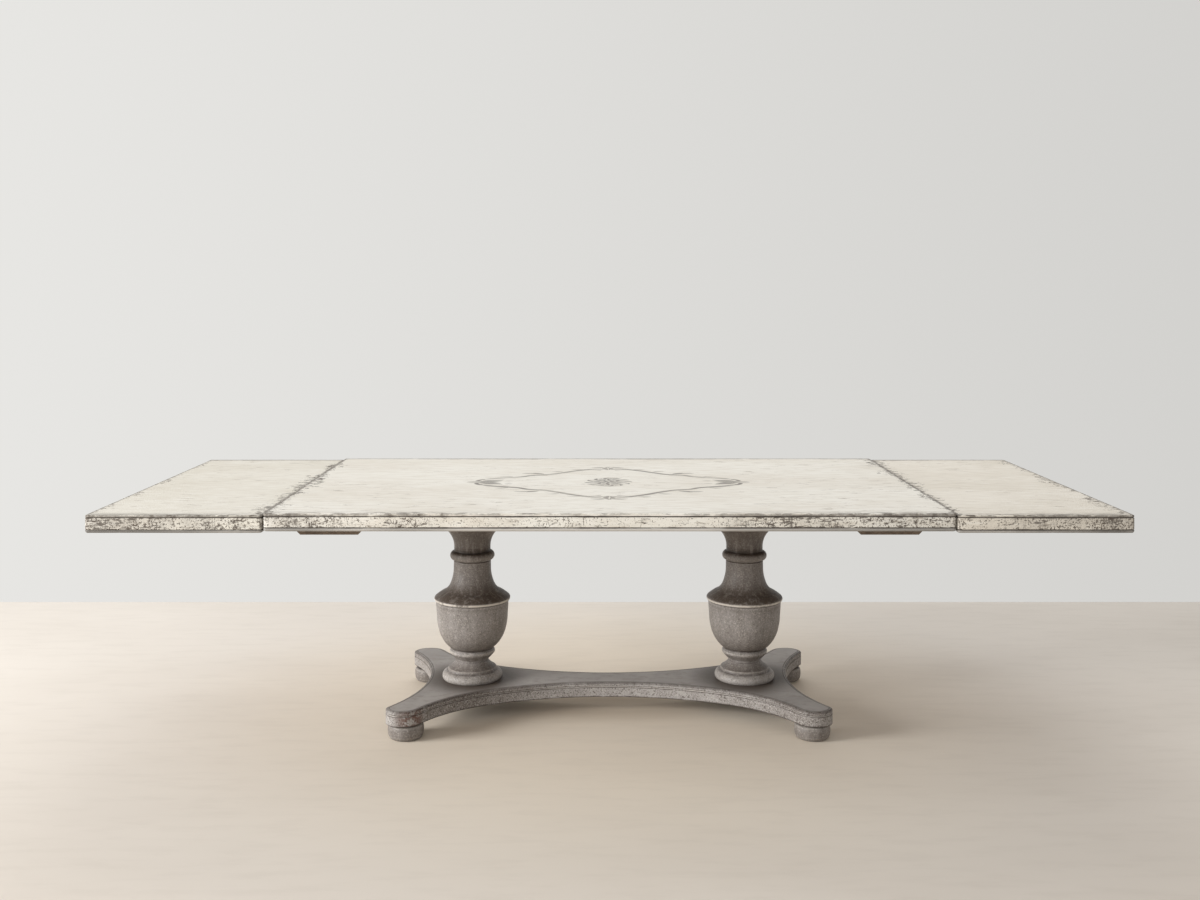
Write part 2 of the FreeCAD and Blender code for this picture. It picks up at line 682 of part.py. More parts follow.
def wear_strips():
    """The hard strips under the top that the runners press up against."""
    strips = []
    for side in SIDES.values():
        for row in ROWS.values():
            strip = block(strip_limits(side), around(row * RUNNER_Y, RUNNER_WIDTH), (STRIP_Z, MAIN_Z))
            ways = []
            for x, y in strip_screw_places(side, row):
                ways.append(post(x, y, (STRIP_Z - OVERRUN, strip_seat_z()), STRIP_RECESS_RADIUS))
                ways.append(post(x, y, (STRIP_Z - OVERRUN, MAIN_Z + OVERRUN), STRIP_BORE_RADIUS))
            strips.append(cut_all(strip, ways))
    return strips


def strip_seat_z():
    return STRIP_Z + STRIP_SCREW_RECESS + STRIP_SCREW_HEAD_HEIGHT


def cap_plate(side):
    x = side * PEDESTAL_X
    size = 2 * (CAPITAL_RADIUS + CAP_PLATE_MARGIN)
    plate = block(around(x, size), around(0, size), (CAP_PLATE_Z, BEARER_Z))
    bore = post(x, 0, (CAP_PLATE_Z - OVERRUN, BEARER_Z + OVERRUN), ROD_BORE_RADIUS)
    return cut_all(plate, [bore, *screw_ways(cap_screw_places(side), CAP_PLATE_Z, cap_seat_z(), BEARER_Z)])


def cap_seat_z():
    return BEARER_Z - CAP_PLATE_THICKNESS * SEAT_SHARE


def cap_screw_bite():
    return BEARER_DEPTH * BITE_SHARE


# The runners and what they carry
def runner(side, row):
    x_limits = span(side, RUNNER_TAIL_X, RUNNER_END_X)
    bar = block(x_limits, around(row * RUNNER_Y, RUNNER_WIDTH), (RUNNER_Z, RUNNER_TOP_Z))
    peg_hole = post(side * STOP_PEG_X, row * RUNNER_Y, grown((RUNNER_Z, RUNNER_TOP_Z), OVERRUN),
                    STOP_PEG_RADIUS + STOP_PEG_CLEARANCE)
    pilots = pilot_holes(pull_screw_places(side, row), RUNNER_Z, RUNNER_Z + runner_bite())
    return cut_all(bar, [peg_hole, *pilots])


def runner_bite():
    return RUNNER_THICKNESS * BITE_SHARE


def stop_peg(side, row):
    """The peg in the runner's tail that stops it against the bearer."""
    return post(side * STOP_PEG_X, row * RUNNER_Y, (RUNNER_Z - STOP_PEG_DROP, RUNNER_TOP_Z), STOP_PEG_RADIUS)


def pull_block(side, row):
    """The grip under the runner's free end, which also stops it when it is pushed in."""
    centre = side * (PULL_BLOCK_X + PULL_BLOCK_LENGTH / 2)
    low_z = RUNNER_Z - PULL_BLOCK_DEPTH
    grip = bevelled_board(centre, PULL_BLOCK_LENGTH, around(row * RUNNER_Y, RUNNER_WIDTH),
                          (low_z, RUNNER_Z), PULL_BLOCK_BEVEL)
    return cut_all(grip, screw_ways(pull_screw_places(side, row), low_z, pull_seat_z(), RUNNER_Z))


def pull_seat_z():
    return RUNNER_Z - PULL_BLOCK_DEPTH * SEAT_SHARE


# The turned pedestals
def base_turning(side):
    return turned(BASE_TURNING_SHARES, BASE_TURNING_TOP_RADIUS, BASE_TURNING_RADIUS, BASE_TURNING_HEIGHT,
                  side * PEDESTAL_X, PLINTH_TOP_Z)


def urn_bowl(side):
    return turned(URN_BOWL_SHARES, URN_WAIST_RADIUS, URN_BOWL_RADIUS, URN_BOWL_HEIGHT,
                  side * PEDESTAL_X, URN_BOWL_Z)


def urn_lid(side):
    return turned(URN_LID_SHARES, NECK_FOOT_RADIUS, URN_LID_RADIUS, URN_LID_HEIGHT,
                  side * PEDESTAL_X, URN_LID_Z)


def urn_neck(side):
    return turned(URN_NECK_SHARES, NECK_TOP_RADIUS, NECK_RING_RADIUS, URN_NECK_HEIGHT,
                  side * PEDESTAL_X, URN_NECK_Z)


def capital(side):
    return turned(CAPITAL_SHARES, NECK_TOP_RADIUS, CAPITAL_RADIUS, CAPITAL_HEIGHT,
                  side * PEDESTAL_X, CAPITAL_Z, has_socket=False)


def rod_washer_z():
    """The undersides of the lower and the upper washer on a rod."""
    return (FOOT_HEIGHT + PLINTH_POCKET_DEPTH - WASHER_THICKNESS, BEARER_Z)


def rod_nut_z():
    """The undersides of the lower and the upper nut on a rod."""
    lower, upper = rod_washer_z()
    return (lower - NUT_HEIGHT, upper + WASHER_THICKNESS)


def tie_rod(side):
    lower, upper = rod_nut_z()
    z_limits = (lower + POCKET_FLOOR_ROOM, upper + NUT_HEIGHT + ROD_PROUD)
    return post(side * PEDESTAL_X, 0, z_limits, ROD_RADIUS)


def tie_rod_washers():
    washers = []
    for side in SIDES.values():
        x = side * PEDESTAL_X
        for z in rod_washer_z():
            z_limits = (z, z + WASHER_THICKNESS)
            disc = post(x, 0, z_limits, WASHER_RADIUS)
            washers.append(disc.cut(post(x, 0, grown(z_limits, OVERRUN), ROD_BORE_RADIUS)))
    return washers


def tie_rod_nuts():
    corner_radius = NUT_ACROSS_FLATS / 2 / math.cos(math.pi / NUT_SIDES)
    nuts = []
    for side in SIDES.values():
        x = side * PEDESTAL_X
        for z in rod_nut_z():
            points = []
            for index in range(NUT_SIDES):
                angle = 2 * math.pi * index / NUT_SIDES
                points.append(vector(x + corner_radius * math.cos(angle), corner_radius * math.sin(angle), z))
            body = prism(points, vector(0, 0, NUT_HEIGHT))
            bore = post(x, 0, (z - OVERRUN, z + NUT_HEIGHT + OVERRUN), ROD_RADIUS + THREAD_CLEARANCE)
            nuts.append(body.cut(bore))
    return nuts


# The plinth and its feet
def plinth_point(shares, side=1, row=1):
    """A point of the outline of one arm, at the plinth's underside."""
    x = PEDESTAL_X + PLINTH_REACH * shares[0]
    return vector(side * x, row * PLINTH_HALF_WIDTH * shares[1], FOOT_HEIGHT)


def waist_point(row):
    """The narrowest point of the plinth, halfway along it."""
    return vector(0, row * PLINTH_HALF_WIDTH * WAIST_SHARE, FOOT_HEIGHT)


def plinth_outline():
    """The closed outline of the plinth: two long hollows, two end hollows and four arms."""
    edges = []
    for side in SIDES.values():
        end_points = [plinth_point(ARM_END_SHARES, side, -1), plinth_point(END_HOLLOW_SHARES, side),
                      plinth_point(ARM_END_SHARES, side, 1)]
        edges.append(Part.Arc(*end_points).toShape())
        for row in ROWS.values():
            arm = [plinth_point(shares, side, row) for shares in (
                LONG_SIDE_SHARES, ARM_HOLLOW_SHARES, ARM_SIDE_SHARES, ARM_TIP_START_SHARES,
                ARM_TIP_MIDDLE_SHARES, ARM_TIP_END_SHARES, ARM_END_SHARES)]
            edges.append(Part.Arc(arm[0], arm[1], arm[2]).toShape())
            edges.append(Part.LineSegment(arm[2], arm[3]).toShape())
            edges.append(Part.Arc(arm[3], arm[4], arm[5]).toShape())
            edges.append(Part.LineSegment(arm[5], arm[6]).toShape())
    for row in ROWS.values():
        side_points = [plinth_point(LONG_SIDE_SHARES, -1, row), waist_point(row),
                       plinth_point(LONG_SIDE_SHARES, 1, row)]
        edges.append(Part.Arc(*side_points).toShape())
    return Part.Wire(Part.__sortEdges__(edges))


def corner_edges(solid, shares):
    """The four upright edges of the plinth that stand at one point of its outline."""
    target = plinth_point(shares)
    chosen = []
    for edge in upright_edges(solid):
        place = edge.Vertexes[0]
        if abs(abs(place.X) - target.x) < TOUCH and abs(abs(place.Y) - target.y) < TOUCH:
            chosen.append(edge)
    return chosen


def base_plinth():
    rise = vector(0, 0, PLINTH_THICKNESS)
    board = Part.Face(plinth_outline()).extrude(rise)
    board = board.makeFillet(ARM_SIDE_ROUND, corner_edges(board, ARM_SIDE_SHARES))
    board = board.makeFillet(ARM_END_ROUND, corner_edges(board, ARM_END_SHARES))
    base_face = [face for face in board.Faces if abs(face.BoundBox.ZMax - FOOT_HEIGHT) < TOUCH][0]
    core_face = base_face.makeOffset2D(-PLINTH_QUIRK_DEPTH)
    quirk_z = PLINTH_TOP_Z - PLINTH_BEAD_HEIGHT - PLINTH_QUIRK_WIDTH
    core = core_face.extrude(vector(0, 0, PLINTH_QUIRK_WIDTH))
    core.translate(vector(0, 0, quirk_z - FOOT_HEIGHT))
    outside = block(around(0, 2 * (PLINTH_HALF_LENGTH + OVERRUN)), around(0, PLINTH_WIDTH + 2 * OVERRUN),
                    (quirk_z, quirk_z + PLINTH_QUIRK_WIDTH))
    board = board.makeFillet(min(PLINTH_TOP_ROUND, PLINTH_BEAD_HEIGHT * ROUND_LIMIT_SHARE),
                             level_edges(board, PLINTH_TOP_Z))
    board = board.makeFillet(PLINTH_BOTTOM_ROUND, level_edges(board, FOOT_HEIGHT))
    tools = [outside.cut(core)]
    for side in SIDES.values():
        x = side * PEDESTAL_X
        tools.append(post(x, 0, (PLINTH_TOP_Z - SOCKET_DEPTH, PLINTH_TOP_Z + OVERRUN), SOCKET_RADIUS))
        tools.append(post(x, 0, grown((FOOT_HEIGHT, PLINTH_TOP_Z), OVERRUN), ROD_BORE_RADIUS))
        tools.append(post(x, 0, (FOOT_HEIGHT - OVERRUN, FOOT_HEIGHT + PLINTH_POCKET_DEPTH), POCKET_RADIUS))
        for row in ROWS.values():
            bolt_z = (FOOT_HEIGHT - OVERRUN, FOOT_HEIGHT + HANGER_BOLT_IN_PLINTH + BOLT_END_ROOM)
            tools.append(post(side * FOOT_X, row * FOOT_Y, bolt_z, HANGER_BORE_RADIUS))
    return cut_all(board, tools)


def foot(side, row):
    edges, start, end = outline_edges(FOOT_SHARES, FOOT_SEAT_RADIUS, FOOT_RADIUS, FOOT_HEIGHT)
    bore_z = FOOT_HEIGHT - HANGER_BOLT_IN_FOOT - BOLT_END_ROOM
    closing = [
        end,
        vector(HANGER_BORE_RADIUS, 0, FOOT_HEIGHT),
        vector(HANGER_BORE_RADIUS, 0, bore_z),
        vector(0, 0, bore_z),
        vector(0, 0, 0),
        start,
    ]
    return revolved(edges + line_edges(closing), side * FOOT_X, row * FOOT_Y, 0)


def foot_bolts():
    z_limits = (FOOT_HEIGHT - HANGER_BOLT_IN_FOOT, FOOT_HEIGHT + HANGER_BOLT_IN_PLINTH)
    return [post(side * FOOT_X, row * FOOT_Y, z_limits, HANGER_BOLT_RADIUS)
            for side in SIDES.values() for row in ROWS.values()]


# The groups of screws
def strip_screws():
    group = []
    for side in SIDES.values():
        for row in ROWS.values():
            for x, y in strip_screw_places(side, row):
                group.append(screw(x, y, strip_seat_z(), MAIN_Z + STRIP_SCREW_BITE, STRIP_SCREW_RADIUS,
                                   STRIP_SCREW_HEAD_RADIUS, STRIP_SCREW_HEAD_HEIGHT, STRIP_SCREW_POINT))
    return group


def both_sides(places):
    """The places on the left and on the right together."""
    return places(SIDES["left"]) + places(SIDES["right"])


def save(name, shape):
    """Write one piece, or a group of separate solids, under its name."""
    if isinstance(shape, list):
        shape = Part.makeCompound(shape)
    shape.exportStep(f"parts/{name}.step")


def save_fixed_frame():
    save("main_top", main_top())
    save("spine_rail", spine_rail())
    save("base_plinth", base_plinth())
    save("wear_strips", wear_strips())
    save("tie_rod_washers", tie_rod_washers())
    save("tie_rod_nuts", tie_rod_nuts())
    save("foot_bolts", foot_bolts())
    top_tip_z = MAIN_Z + MAIN_BITE
    save("bearer_screws", screws(both_sides(bearer_screw_places), MAIN_Z - BEARER_SCREW_SEAT, top_tip_z))
    save("end_bearer_screws", screws(both_sides(end_bearer_screw_places), MAIN_Z - END_SCREW_SEAT, top_tip_z))
    save("spine_rail_screws", screws(spine_screw_places(), spine_seat_z(), top_tip_z))
    save("cap_plate_screws", screws(both_sides(cap_screw_places), cap_seat_z(), BEARER_Z + cap_screw_bite()))
    save("wear_strip_screws", strip_screws())


def save_side(name, side):
    for piece in (capital, urn_neck, urn_lid, urn_bowl, base_turning, tie_rod):
        save(f"{piece.__name__}_{name}", piece(side))
    for piece in (end_bearer, pedestal_bearer, cap_plate, leaf, leaf_battens, leaf_dowels):
        save(f"{piece.__name__}_{name}", piece(side))
    save(f"leaf_batten_screws_{name}",
         screws(batten_screw_places(side), batten_seat_z(), LEAF_Z + leaf_bite()))


def save_corner(name, side, row):
    for piece in (foot, runner, stop_peg, pull_block):
        save(f"{piece.__name__}_{name}", piece(side, row))
    save(f"pull_block_screws_{name}",
         screws(pull_screw_places(side, row), pull_seat_z(), RUNNER_Z + runner_bite()))


save_fixed_frame()
for side_name, side_sign in SIDES.items():
    save_side(side_name, side_sign)
    for row_name, row_sign in ROWS.items():
        save_corner(f"{side_name}_{row_name}", side_sign, row_sign)
print("table top height", TOP_Z, "overall length", 2 * LEAF_END_X, "runner travel", RUNNER_TRAVEL)
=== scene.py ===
import bpy
import bmesh
import cmath
import math
import numpy as np
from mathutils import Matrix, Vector, noise


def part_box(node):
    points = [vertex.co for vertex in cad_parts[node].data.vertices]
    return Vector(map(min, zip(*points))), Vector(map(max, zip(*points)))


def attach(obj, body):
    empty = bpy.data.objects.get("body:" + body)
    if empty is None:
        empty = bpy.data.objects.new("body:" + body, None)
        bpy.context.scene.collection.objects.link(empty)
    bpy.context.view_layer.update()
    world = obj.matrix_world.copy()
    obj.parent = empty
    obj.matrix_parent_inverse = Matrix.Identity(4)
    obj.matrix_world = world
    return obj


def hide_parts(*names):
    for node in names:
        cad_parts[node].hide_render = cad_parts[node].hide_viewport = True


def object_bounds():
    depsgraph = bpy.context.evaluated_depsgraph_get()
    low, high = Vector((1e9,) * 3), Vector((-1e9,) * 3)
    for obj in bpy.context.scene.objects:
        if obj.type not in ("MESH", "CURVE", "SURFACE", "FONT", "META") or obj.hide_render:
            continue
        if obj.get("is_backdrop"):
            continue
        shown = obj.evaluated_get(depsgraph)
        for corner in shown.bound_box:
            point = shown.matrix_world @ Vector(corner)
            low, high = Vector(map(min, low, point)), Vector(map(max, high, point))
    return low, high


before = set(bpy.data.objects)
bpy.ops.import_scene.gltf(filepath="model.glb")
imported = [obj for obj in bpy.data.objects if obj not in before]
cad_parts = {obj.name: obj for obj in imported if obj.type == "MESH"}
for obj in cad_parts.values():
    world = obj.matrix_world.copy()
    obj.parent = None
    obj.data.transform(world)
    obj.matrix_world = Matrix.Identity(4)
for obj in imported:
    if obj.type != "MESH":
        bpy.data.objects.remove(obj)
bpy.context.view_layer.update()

# Lengths are in metres. X runs along the table, Y towards its back and Z up from the floor.
BODY = "table_frame"
SIDES = {"left": -1, "right": 1}
ROWS = {"front": -1, "back": 1}

# The camera, from the photograph's vanishing lines, in pixels of its 1200 x 900 frame
PHOTO_WIDTH_PX = 1200
PHOTO_HEIGHT_PX = 900
FOCAL_PX = 1278.5
HORIZON_PX = 289.4
CAMERA_PLACE = (-0.0286, -4.348, 1.417)
SENSOR_MM = 36.0

# The floor ends where the photograph's floor meets its wall
FLOOR_HALF_LENGTH = 7.0
FLOOR_FRONT_Y = -7.0
FLOOR_BACK_Y = 1.447
# Painted shade: the floor is deeper in tone in front of the first Y and at full tone behind the second
FLOOR_FADE = (-2.6, 0.9)
# Painted shade: a warm tint on the floor round the table, full within the second reach and gone past the
# first
FLOOR_WARM_SHADE_REACH = (1.7, 0.5)
# The floor is painted in shade where it comes close to the key lamp
FLOOR_LAMP_REACH = (5.6, 2.6)
# Half length and half depth of the shadow painted on the floor under the plinth
SHADOW_HALF = (0.66, 0.2)
# The backdrop is painted in shade towards the right, over this reach either side of the middle
BACKDROP_REACH = 0.42

# Lamps: place, size, power in watts
LAMPS = {
    "key_lamp": {"place": (-7.0, -2.5, 2.15), "size": (3.2, 2.2), "power": 680.0},
    "top_lamp": {"place": (1.3, 0.4, 3.4), "size": (2.6, 1.8), "power": 9.0},
    "back_lamp": {"place": (0.4, 3.2, 4.2), "size": (5.0, 1.6), "power": 50.0},
}
# The even light: its level, how much more comes from the front and the back, and from above
WORLD_LIGHT = {"level": 0.07, "across": 1.04, "above": 0.36}
WORLD_LIGHT_COLOUR = (1.0, 0.99, 0.975, 1.0)
AIM = (0.0, 0.0, 0.45)

# The slabs' moulded edges
CORNER_RADIUS = 0.01
QUIRK_WIDTH = 0.0016
QUIRK_DEPTH = 0.002
DIRT_REACH = 0.0036
BEAD_ROUND = 0.0035
HEEL_ROUND_SHARE = 0.75
SLAB_EDGES = {
    "main_top": {"bead": 0.009, "heel": 0.011},
    "leaf_left": {"bead": 0.007, "heel": 0.009},
    "leaf_right": {"bead": 0.007, "heel": 0.009},
}
# The skin's depth below the CAD faces
SKIN = 0.0003
# How far the middle of a quarter round stays from its corner's two faces, as a share of its radius
DIAGONAL = 1 - math.sqrt(0.5)
PROFILE_STEP = 0.0012
PATH_STEP = 0.005
CORNER_STEPS = 7
WAVER_DEPTH = 0.00025
WAVER_SCALE = 9.0
CHIP_SCALE = 55.0
# Chips: their depth in a quirk, how high the noise must be for one, and the share of the depth elsewhere
SLAB_CHIPS = (0.0032, 0.28, 0.15)
PLINTH_CHIPS = (0.00256, 0.22, 0.12)
# How much more a worn place is chipped, and the most that a place of the front edge is worn
WORN_CHIPS = 0.25
MOST_WORN = 1.2
# How far along an outline its bends are felt
BEND_REACH = {"turned": 0.003, "slab": 0.0022, "plinth": 0.0024}

# Where the front edge of each slab is worn through in specks: place along X, half length, strength
FRONT_WEAR = {
    "main_top": [(-0.93, 0.1, 0.9), (-0.82, 0.05, 0.8), (-0.6, 0.06, 0.9), (-0.13, 0.1, 0.5),
                 (0.45, 0.07, 0.8), (0.52, 0.04, 0.8), (0.66, 0.05, 0.7), (0.8, 0.1, 1), (0.95, 0.06, 0.7)],
    "leaf_left": [(-1.46, 0.07, 0.8), (-1.28, 0.05, 0.3), (-1.16, 0.05, 0.9), (-1.06, 0.06, 1)],
    "leaf_right": [(1.03, 0.04, 0.8), (1.2, 0.06, 0.6), (1.31, 0.05, 0.8), (1.47, 0.06, 1.2)],
}
# How dull and grimy the front edge is: place along X, level from 0 to 1
FRONT_DULL = {
    "main_top": [(-1.02, 0.55), (-0.9, 0.65), (-0.74, 0.25), (-0.6, 0.5), (-0.4, 0.14), (0, 0.12),
                 (0.25, 0.06), (0.4, 0.42), (0.55, 0.4), (0.7, 0.55), (1, 0.65)],
    "leaf_left": [(-1.54, 0.9), (-1.4, 0.9), (-1.25, 0.78), (-1.12, 0.58), (-1.02, 0.6)],
    "leaf_right": [(1.02, 0.5), (1.15, 0.4), (1.28, 0.6), (1.4, 0.75), (1.48, 1), (1.54, 0.7)],
}

# Where it is scored with short level strokes: place along X, level from 0 to 1
FRONT_DASH = {
    "main_top": [(-1.02, 0.3), (-0.7, 0.2), (-0.62, 0.6), (-0.5, 0.1), (0.35, 0.1), (0.45, 0.9),
                 (0.62, 0.9), (0.72, 0.4), (1, 0.5)],
    "leaf_left": [(-1.54, 1), (-1.37, 0.9), (-1.28, 0.3), (-1.02, 0.25)],
    "leaf_right": [(1.02, 0.3), (1.3, 0.2), (1.54, 0.3)],
}

# Outlines of the turned pieces, from bottom to top. The first share of a point runs from 0 at
# the thin radius to 1 at the full radius, the second from 0 at the bottom to 1 at the top.
# A step is the end of a straight stretch, or the middle and the end of an arc.
THIN_RADIUS = {"base_turning": 0.054, "urn_bowl": 0.058, "urn_lid": 0.073, "urn_neck": 0.0615,
               "capital": 0.0615, "foot": 0.04}
FULL_RADIUS = {"base_turning": 0.101, "urn_bowl": 0.123, "urn_lid": 0.1285, "urn_neck": 0.0753,
               "capital": 0.1, "foot": 0.057}
OUTLINE_SHARES = {
    "base_turning": [
        [(0.915, 0)], [(1, 0.188), (0.766, 0.391)], [(0.638, 0.42)], [(0.596, 0.464)],
        [(0.574, 0.551)], [(0.255, 0.696), (0, 0.899)], [(0, 1)],
    ],
    "urn_bowl": [
        [(0, 0)], [(0.121, 0.041), (0.258, 0.092)], [(0.288, 0.118), (0.242, 0.149)],
        [(0.152, 0.179)], [(0.205, 0.179)], [(0.545, 0.291), (0.819, 0.465)],
        [(0.912, 0.595), (0.955, 0.74)], [(1, 1)],
    ],
    "urn_lid": [
        [(0.867, 0)], [(0.962, 0.033)], [(1, 0.131), (0.945, 0.23)],
        [(0.775, 0.35), (0.545, 0.485)], [(0.18, 0.715), (0, 1)],
    ],
    "urn_neck": [
        [(0.833, 0)], [(0.389, 0.158), (0.121, 0.429)], [(0.097, 0.595)], [(0.034, 0.609)],
        [(0.034, 0.629)], [(1, 0.756), (0.034, 0.88)], [(0, 0.901)], [(0, 1)],
    ],
    "capital": [
        [(0, 0)], [(0.286, 0.506), (0.99, 0.848)], [(1, 0.873)], [(1, 1)],
    ],
    "foot": [
        [(0.118, 0)], [(0.68, 0.11), (0.92, 0.33)], [(1, 0.58), (0.92, 0.82)],
        [(0.78, 0.905), (0.56, 0.945)], [(0, 0.945)], [(0, 1)],
    ],
}
TURNED_STEPS = 132
TURNED_STEP = 0.0018
ARC_STEPS = 48
# A sharp corner is eased this far, but not past this share of its stretch
CORNER_BREAK = 0.0006
CORNER_BREAK_SHARE = 0.4
# A bend whose cosine is above this belongs to a curve
CURVE_COSINE = 0.97


def linear(tone):
    """An sRGB tone, each channel from 0 to 255, as a linear colour."""
    channels = []
    for value in tone:
        share = value / 255
        channels.append(share / 12.92 if share <= 0.04045 else ((share + 0.055) / 1.055) ** 2.4)
    return (*channels, 1.0)


class Level:
    """A value or colour in a graph of nodes. Each sum or product of it adds a node."""

    def __init__(self, graph, socket):
        self.graph = graph
        self.socket = socket

    def __add__(self, other):
        return self.graph.math("ADD", self, other)

    def __sub__(self, other):
        return self.graph.math("SUBTRACT", self, other)

    def __rsub__(self, other):
        return self.graph.math("SUBTRACT", other, self)

    def __mul__(self, other):
        return self.graph.math("MULTIPLY", self, other)

    def __truediv__(self, other):
        return self.graph.math("DIVIDE", self, other)

    def __abs__(self):
        return self.graph.math("ABSOLUTE", self)

    def held(self):
        """Kept between 0 and 1."""
        return self.graph.math("MAXIMUM", self.graph.math("MINIMUM", self, 1.0), 0.0)

    def ramp(self, low, high):
        """0 at low and 1 at high, with soft ends. low may be the larger."""
        inputs = {"Value": self, "From Min": low, "From Max": high}
        return self.graph.out("ShaderNodeMapRange", inputs, interpolation_type="SMOOTHSTEP")


class Graph:
    """The nodes of a material or a world."""

    def __init__(self, owner):
        owner.use_nodes = True
        self.owner = owner
        self.nodes = owner.node_tree.nodes
        self.links = owner.node_tree.links
        self.nodes.clear()
        self.place = self.out("ShaderNodeTexCoord", output="Object")

    def node(self, kind, inputs=None, **settings):
        """A new node. An input is a plain value or the level that feeds it."""
        made = self.nodes.new(kind)
        for key, value in settings.items():
            setattr(made, key, value)
        for key, value in (inputs or {}).items():
            if isinstance(value, Level):
                self.links.new(value.socket, made.inputs[key])
            else:
                made.inputs[key].default_value = value
        return made

    def out(self, kind, inputs=None, output=0, **settings):
        """One output of a new node."""
        return Level(self, self.node(kind, inputs, **settings).outputs[output])

    def math(self, operation, a, b=0.0):
        return self.out("ShaderNodeMath", {0: a, 1: b}, operation=operation)

    def split(self, vector):
        """The X, Y and Z of a vector."""
        return [Level(self, socket) for socket in self.node("ShaderNodeSeparateXYZ", {0: vector}).outputs]

    def distance(self, a, b=(0.0, 0.0, 0.0)):
        return self.out("ShaderNodeVectorMath", {0: a, 1: b}, "Value", operation="DISTANCE")

    def scaled(self, scale, shift=(0.0, 0.0, 0.0)):
        return self.out("ShaderNodeMapping", {"Vector": self.place, "Scale": scale, "Location": shift})

    def noise(self, scale, detail, rough, shift=(0.0, 0.0, 0.0), distortion=0.0):
        """Noise of a scale in features per metre, which may differ along X, Y and Z."""
        vector = self.scaled((scale,) * 3 if isinstance(scale, int) else scale, shift)
        return self.out("ShaderNodeTexNoise", {"Vector": vector, "Scale": 1.0, "Detail": detail,
                                               "Roughness": rough, "Distortion": distortion})

    def along(self, value, stops):
        """The level at a value, between stops of (value, level)."""
        low, high = stops[0][0], stops[-1][0]
        share = self.out("ShaderNodeMapRange", {"Value": value, "From Min": low, "From Max": high})
        made = self.node("ShaderNodeValToRGB", {0: share})
        line = made.color_ramp
        line.interpolation = "EASE"
        while len(line.elements) < len(stops):
            line.elements.new(0.5)
        for element, (place, level) in zip(line.elements, stops):
            element.position = (place - low) / (high - low)
            element.color = (level, level, level, 1.0)
        return Level(self, made.outputs[0])

    def mix(self, factor, a, b):
        """A blend of two colours, each a level, a name in TONES or three sRGB channels."""
        inputs = {0: factor}
        for index, tone in ((6, a), (7, b)):
            channels = TONES[tone] if isinstance(tone, str) else tone
            inputs[index] = linear(channels) if isinstance(channels, tuple) else channels
        return self.out("ShaderNodeMix", inputs, 2, data_type="RGBA")

    def layers(self, tone, *layers):
        """A tone under layers of (cover, tone)."""
        for cover, over in layers:
            tone = self.mix(cover, tone, over)
        return tone

    def attributes(self, *names):
        """The levels that a mesh carries under some names."""
        return [self.out("ShaderNodeAttribute", output="Fac", attribute_name=name) for name in names]

    def finish(self, colour, roughness, height, bump, depth, metallic=0.0, specular=0.5):
        relief = self.out("ShaderNodeBump", {"Height": height, "Strength": bump, "Distance": depth})
        inputs = {"Base Color": colour, "Roughness": roughness, "Normal": relief, "Metallic": metallic,
                  "Specular IOR Level": specular}
        self.node("ShaderNodeOutputMaterial", {0: self.out("ShaderNodeBsdfPrincipled", inputs)})
        return self.owner


def paint(name):
    """The graph of a new material."""
    return Graph(bpy.data.materials.new(name))


# Materials
CREAM = {"main_top": ((232, 228, 218), (224, 218, 206)),
         "leaf_left": ((225, 220, 208), (217, 211, 197)),
         "leaf_right": ((229, 222, 209), (219, 211, 196))}
TONES = {
    "cream_smear": (204, 195, 180), "cream_pale": (240, 237, 230), "cream_grain": (202, 192, 176),
    "cream_hairline": (152, 141, 127), "bare_wood": (74, 62, 52), "bare_grey": (98, 91, 83),
    # The heel tones are painted shade on the heel band
    "rubbed": (146, 141, 134), "rubbed_deep": (120, 113, 105), "heel": (214, 210, 204),
    "heel_shade_deep": (104, 101, 97), "quirk_dirt": (58, 48, 40), "underside": (156, 138, 116),
    "taupe": (156, 151, 148), "taupe_deep": (141, 136, 132), "taupe_brushed": (112, 106, 101),
    "taupe_shade": (83, 74, 67), "taupe_streak": (168, 161, 154), "taupe_speck": (193, 186, 178),
    "taupe_fleck": (80, 72, 65), "taupe_worn": (214, 207, 197), "taupe_worn_fleck": (88, 79, 70),
    "taupe_pale": (222, 215, 205), "taupe_glaze": (52, 44, 37), "plinth": (163, 158, 154),
    # The plinth's tone round each foot is dark glaze and painted shade
    "plinth_deep": (149, 144, 140), "plinth_rubbed": (120, 112, 105), "plinth_shade_and_glaze": (74, 65, 57),
    "plinth_side": (172, 168, 165), "plinth_side_deep": (152, 147, 144), "plinth_dull": (100, 91, 84),
    "plinth_speck": (190, 186, 181), "plinth_fleck": (80, 72, 66), "plinth_worn": (210, 204, 196),
    "plinth_bare": (96, 66, 56), "plinth_glaze": (56, 47, 40), "steel": (186, 186, 182),
    "steel_deep": (160, 159, 152), "vine": (90, 83, 75), "vine_thin": (116, 108, 98),
    # The floor's front, warm, lamp and shadow tones are painted shade
    "floor": (224, 217, 208), "floor_front_shade": (212, 203, 192), "floor_warm_shade": (231, 219, 201),
    "floor_shade_by_lamp": (122, 115, 107), "floor_shadow": (168, 150, 128), "floor_cloud": (170, 158, 144),
    # The backdrop's right-hand tone is painted shade
    "floor_trowel": (150, 138, 124), "backdrop_lit_side": (231, 230, 227),
    "backdrop_shaded_side": (211, 210, 207),
}
# Bare and stained woods: light tone, dark tone and the axis along which the grain runs
WOODS = {
    "stained_wood": ((122, 106, 90), (100, 84, 69), 1),
    "stained_rail": ((122, 106, 90), (100, 84, 69), 0),
    "runner_hardwood": ((186, 158, 122), (164, 134, 98), 0),
    "batten_hardwood": ((178, 152, 118), (156, 128, 94), 1),
    "peg_hardwood": ((170, 140, 104), (148, 118, 84), 2),
}
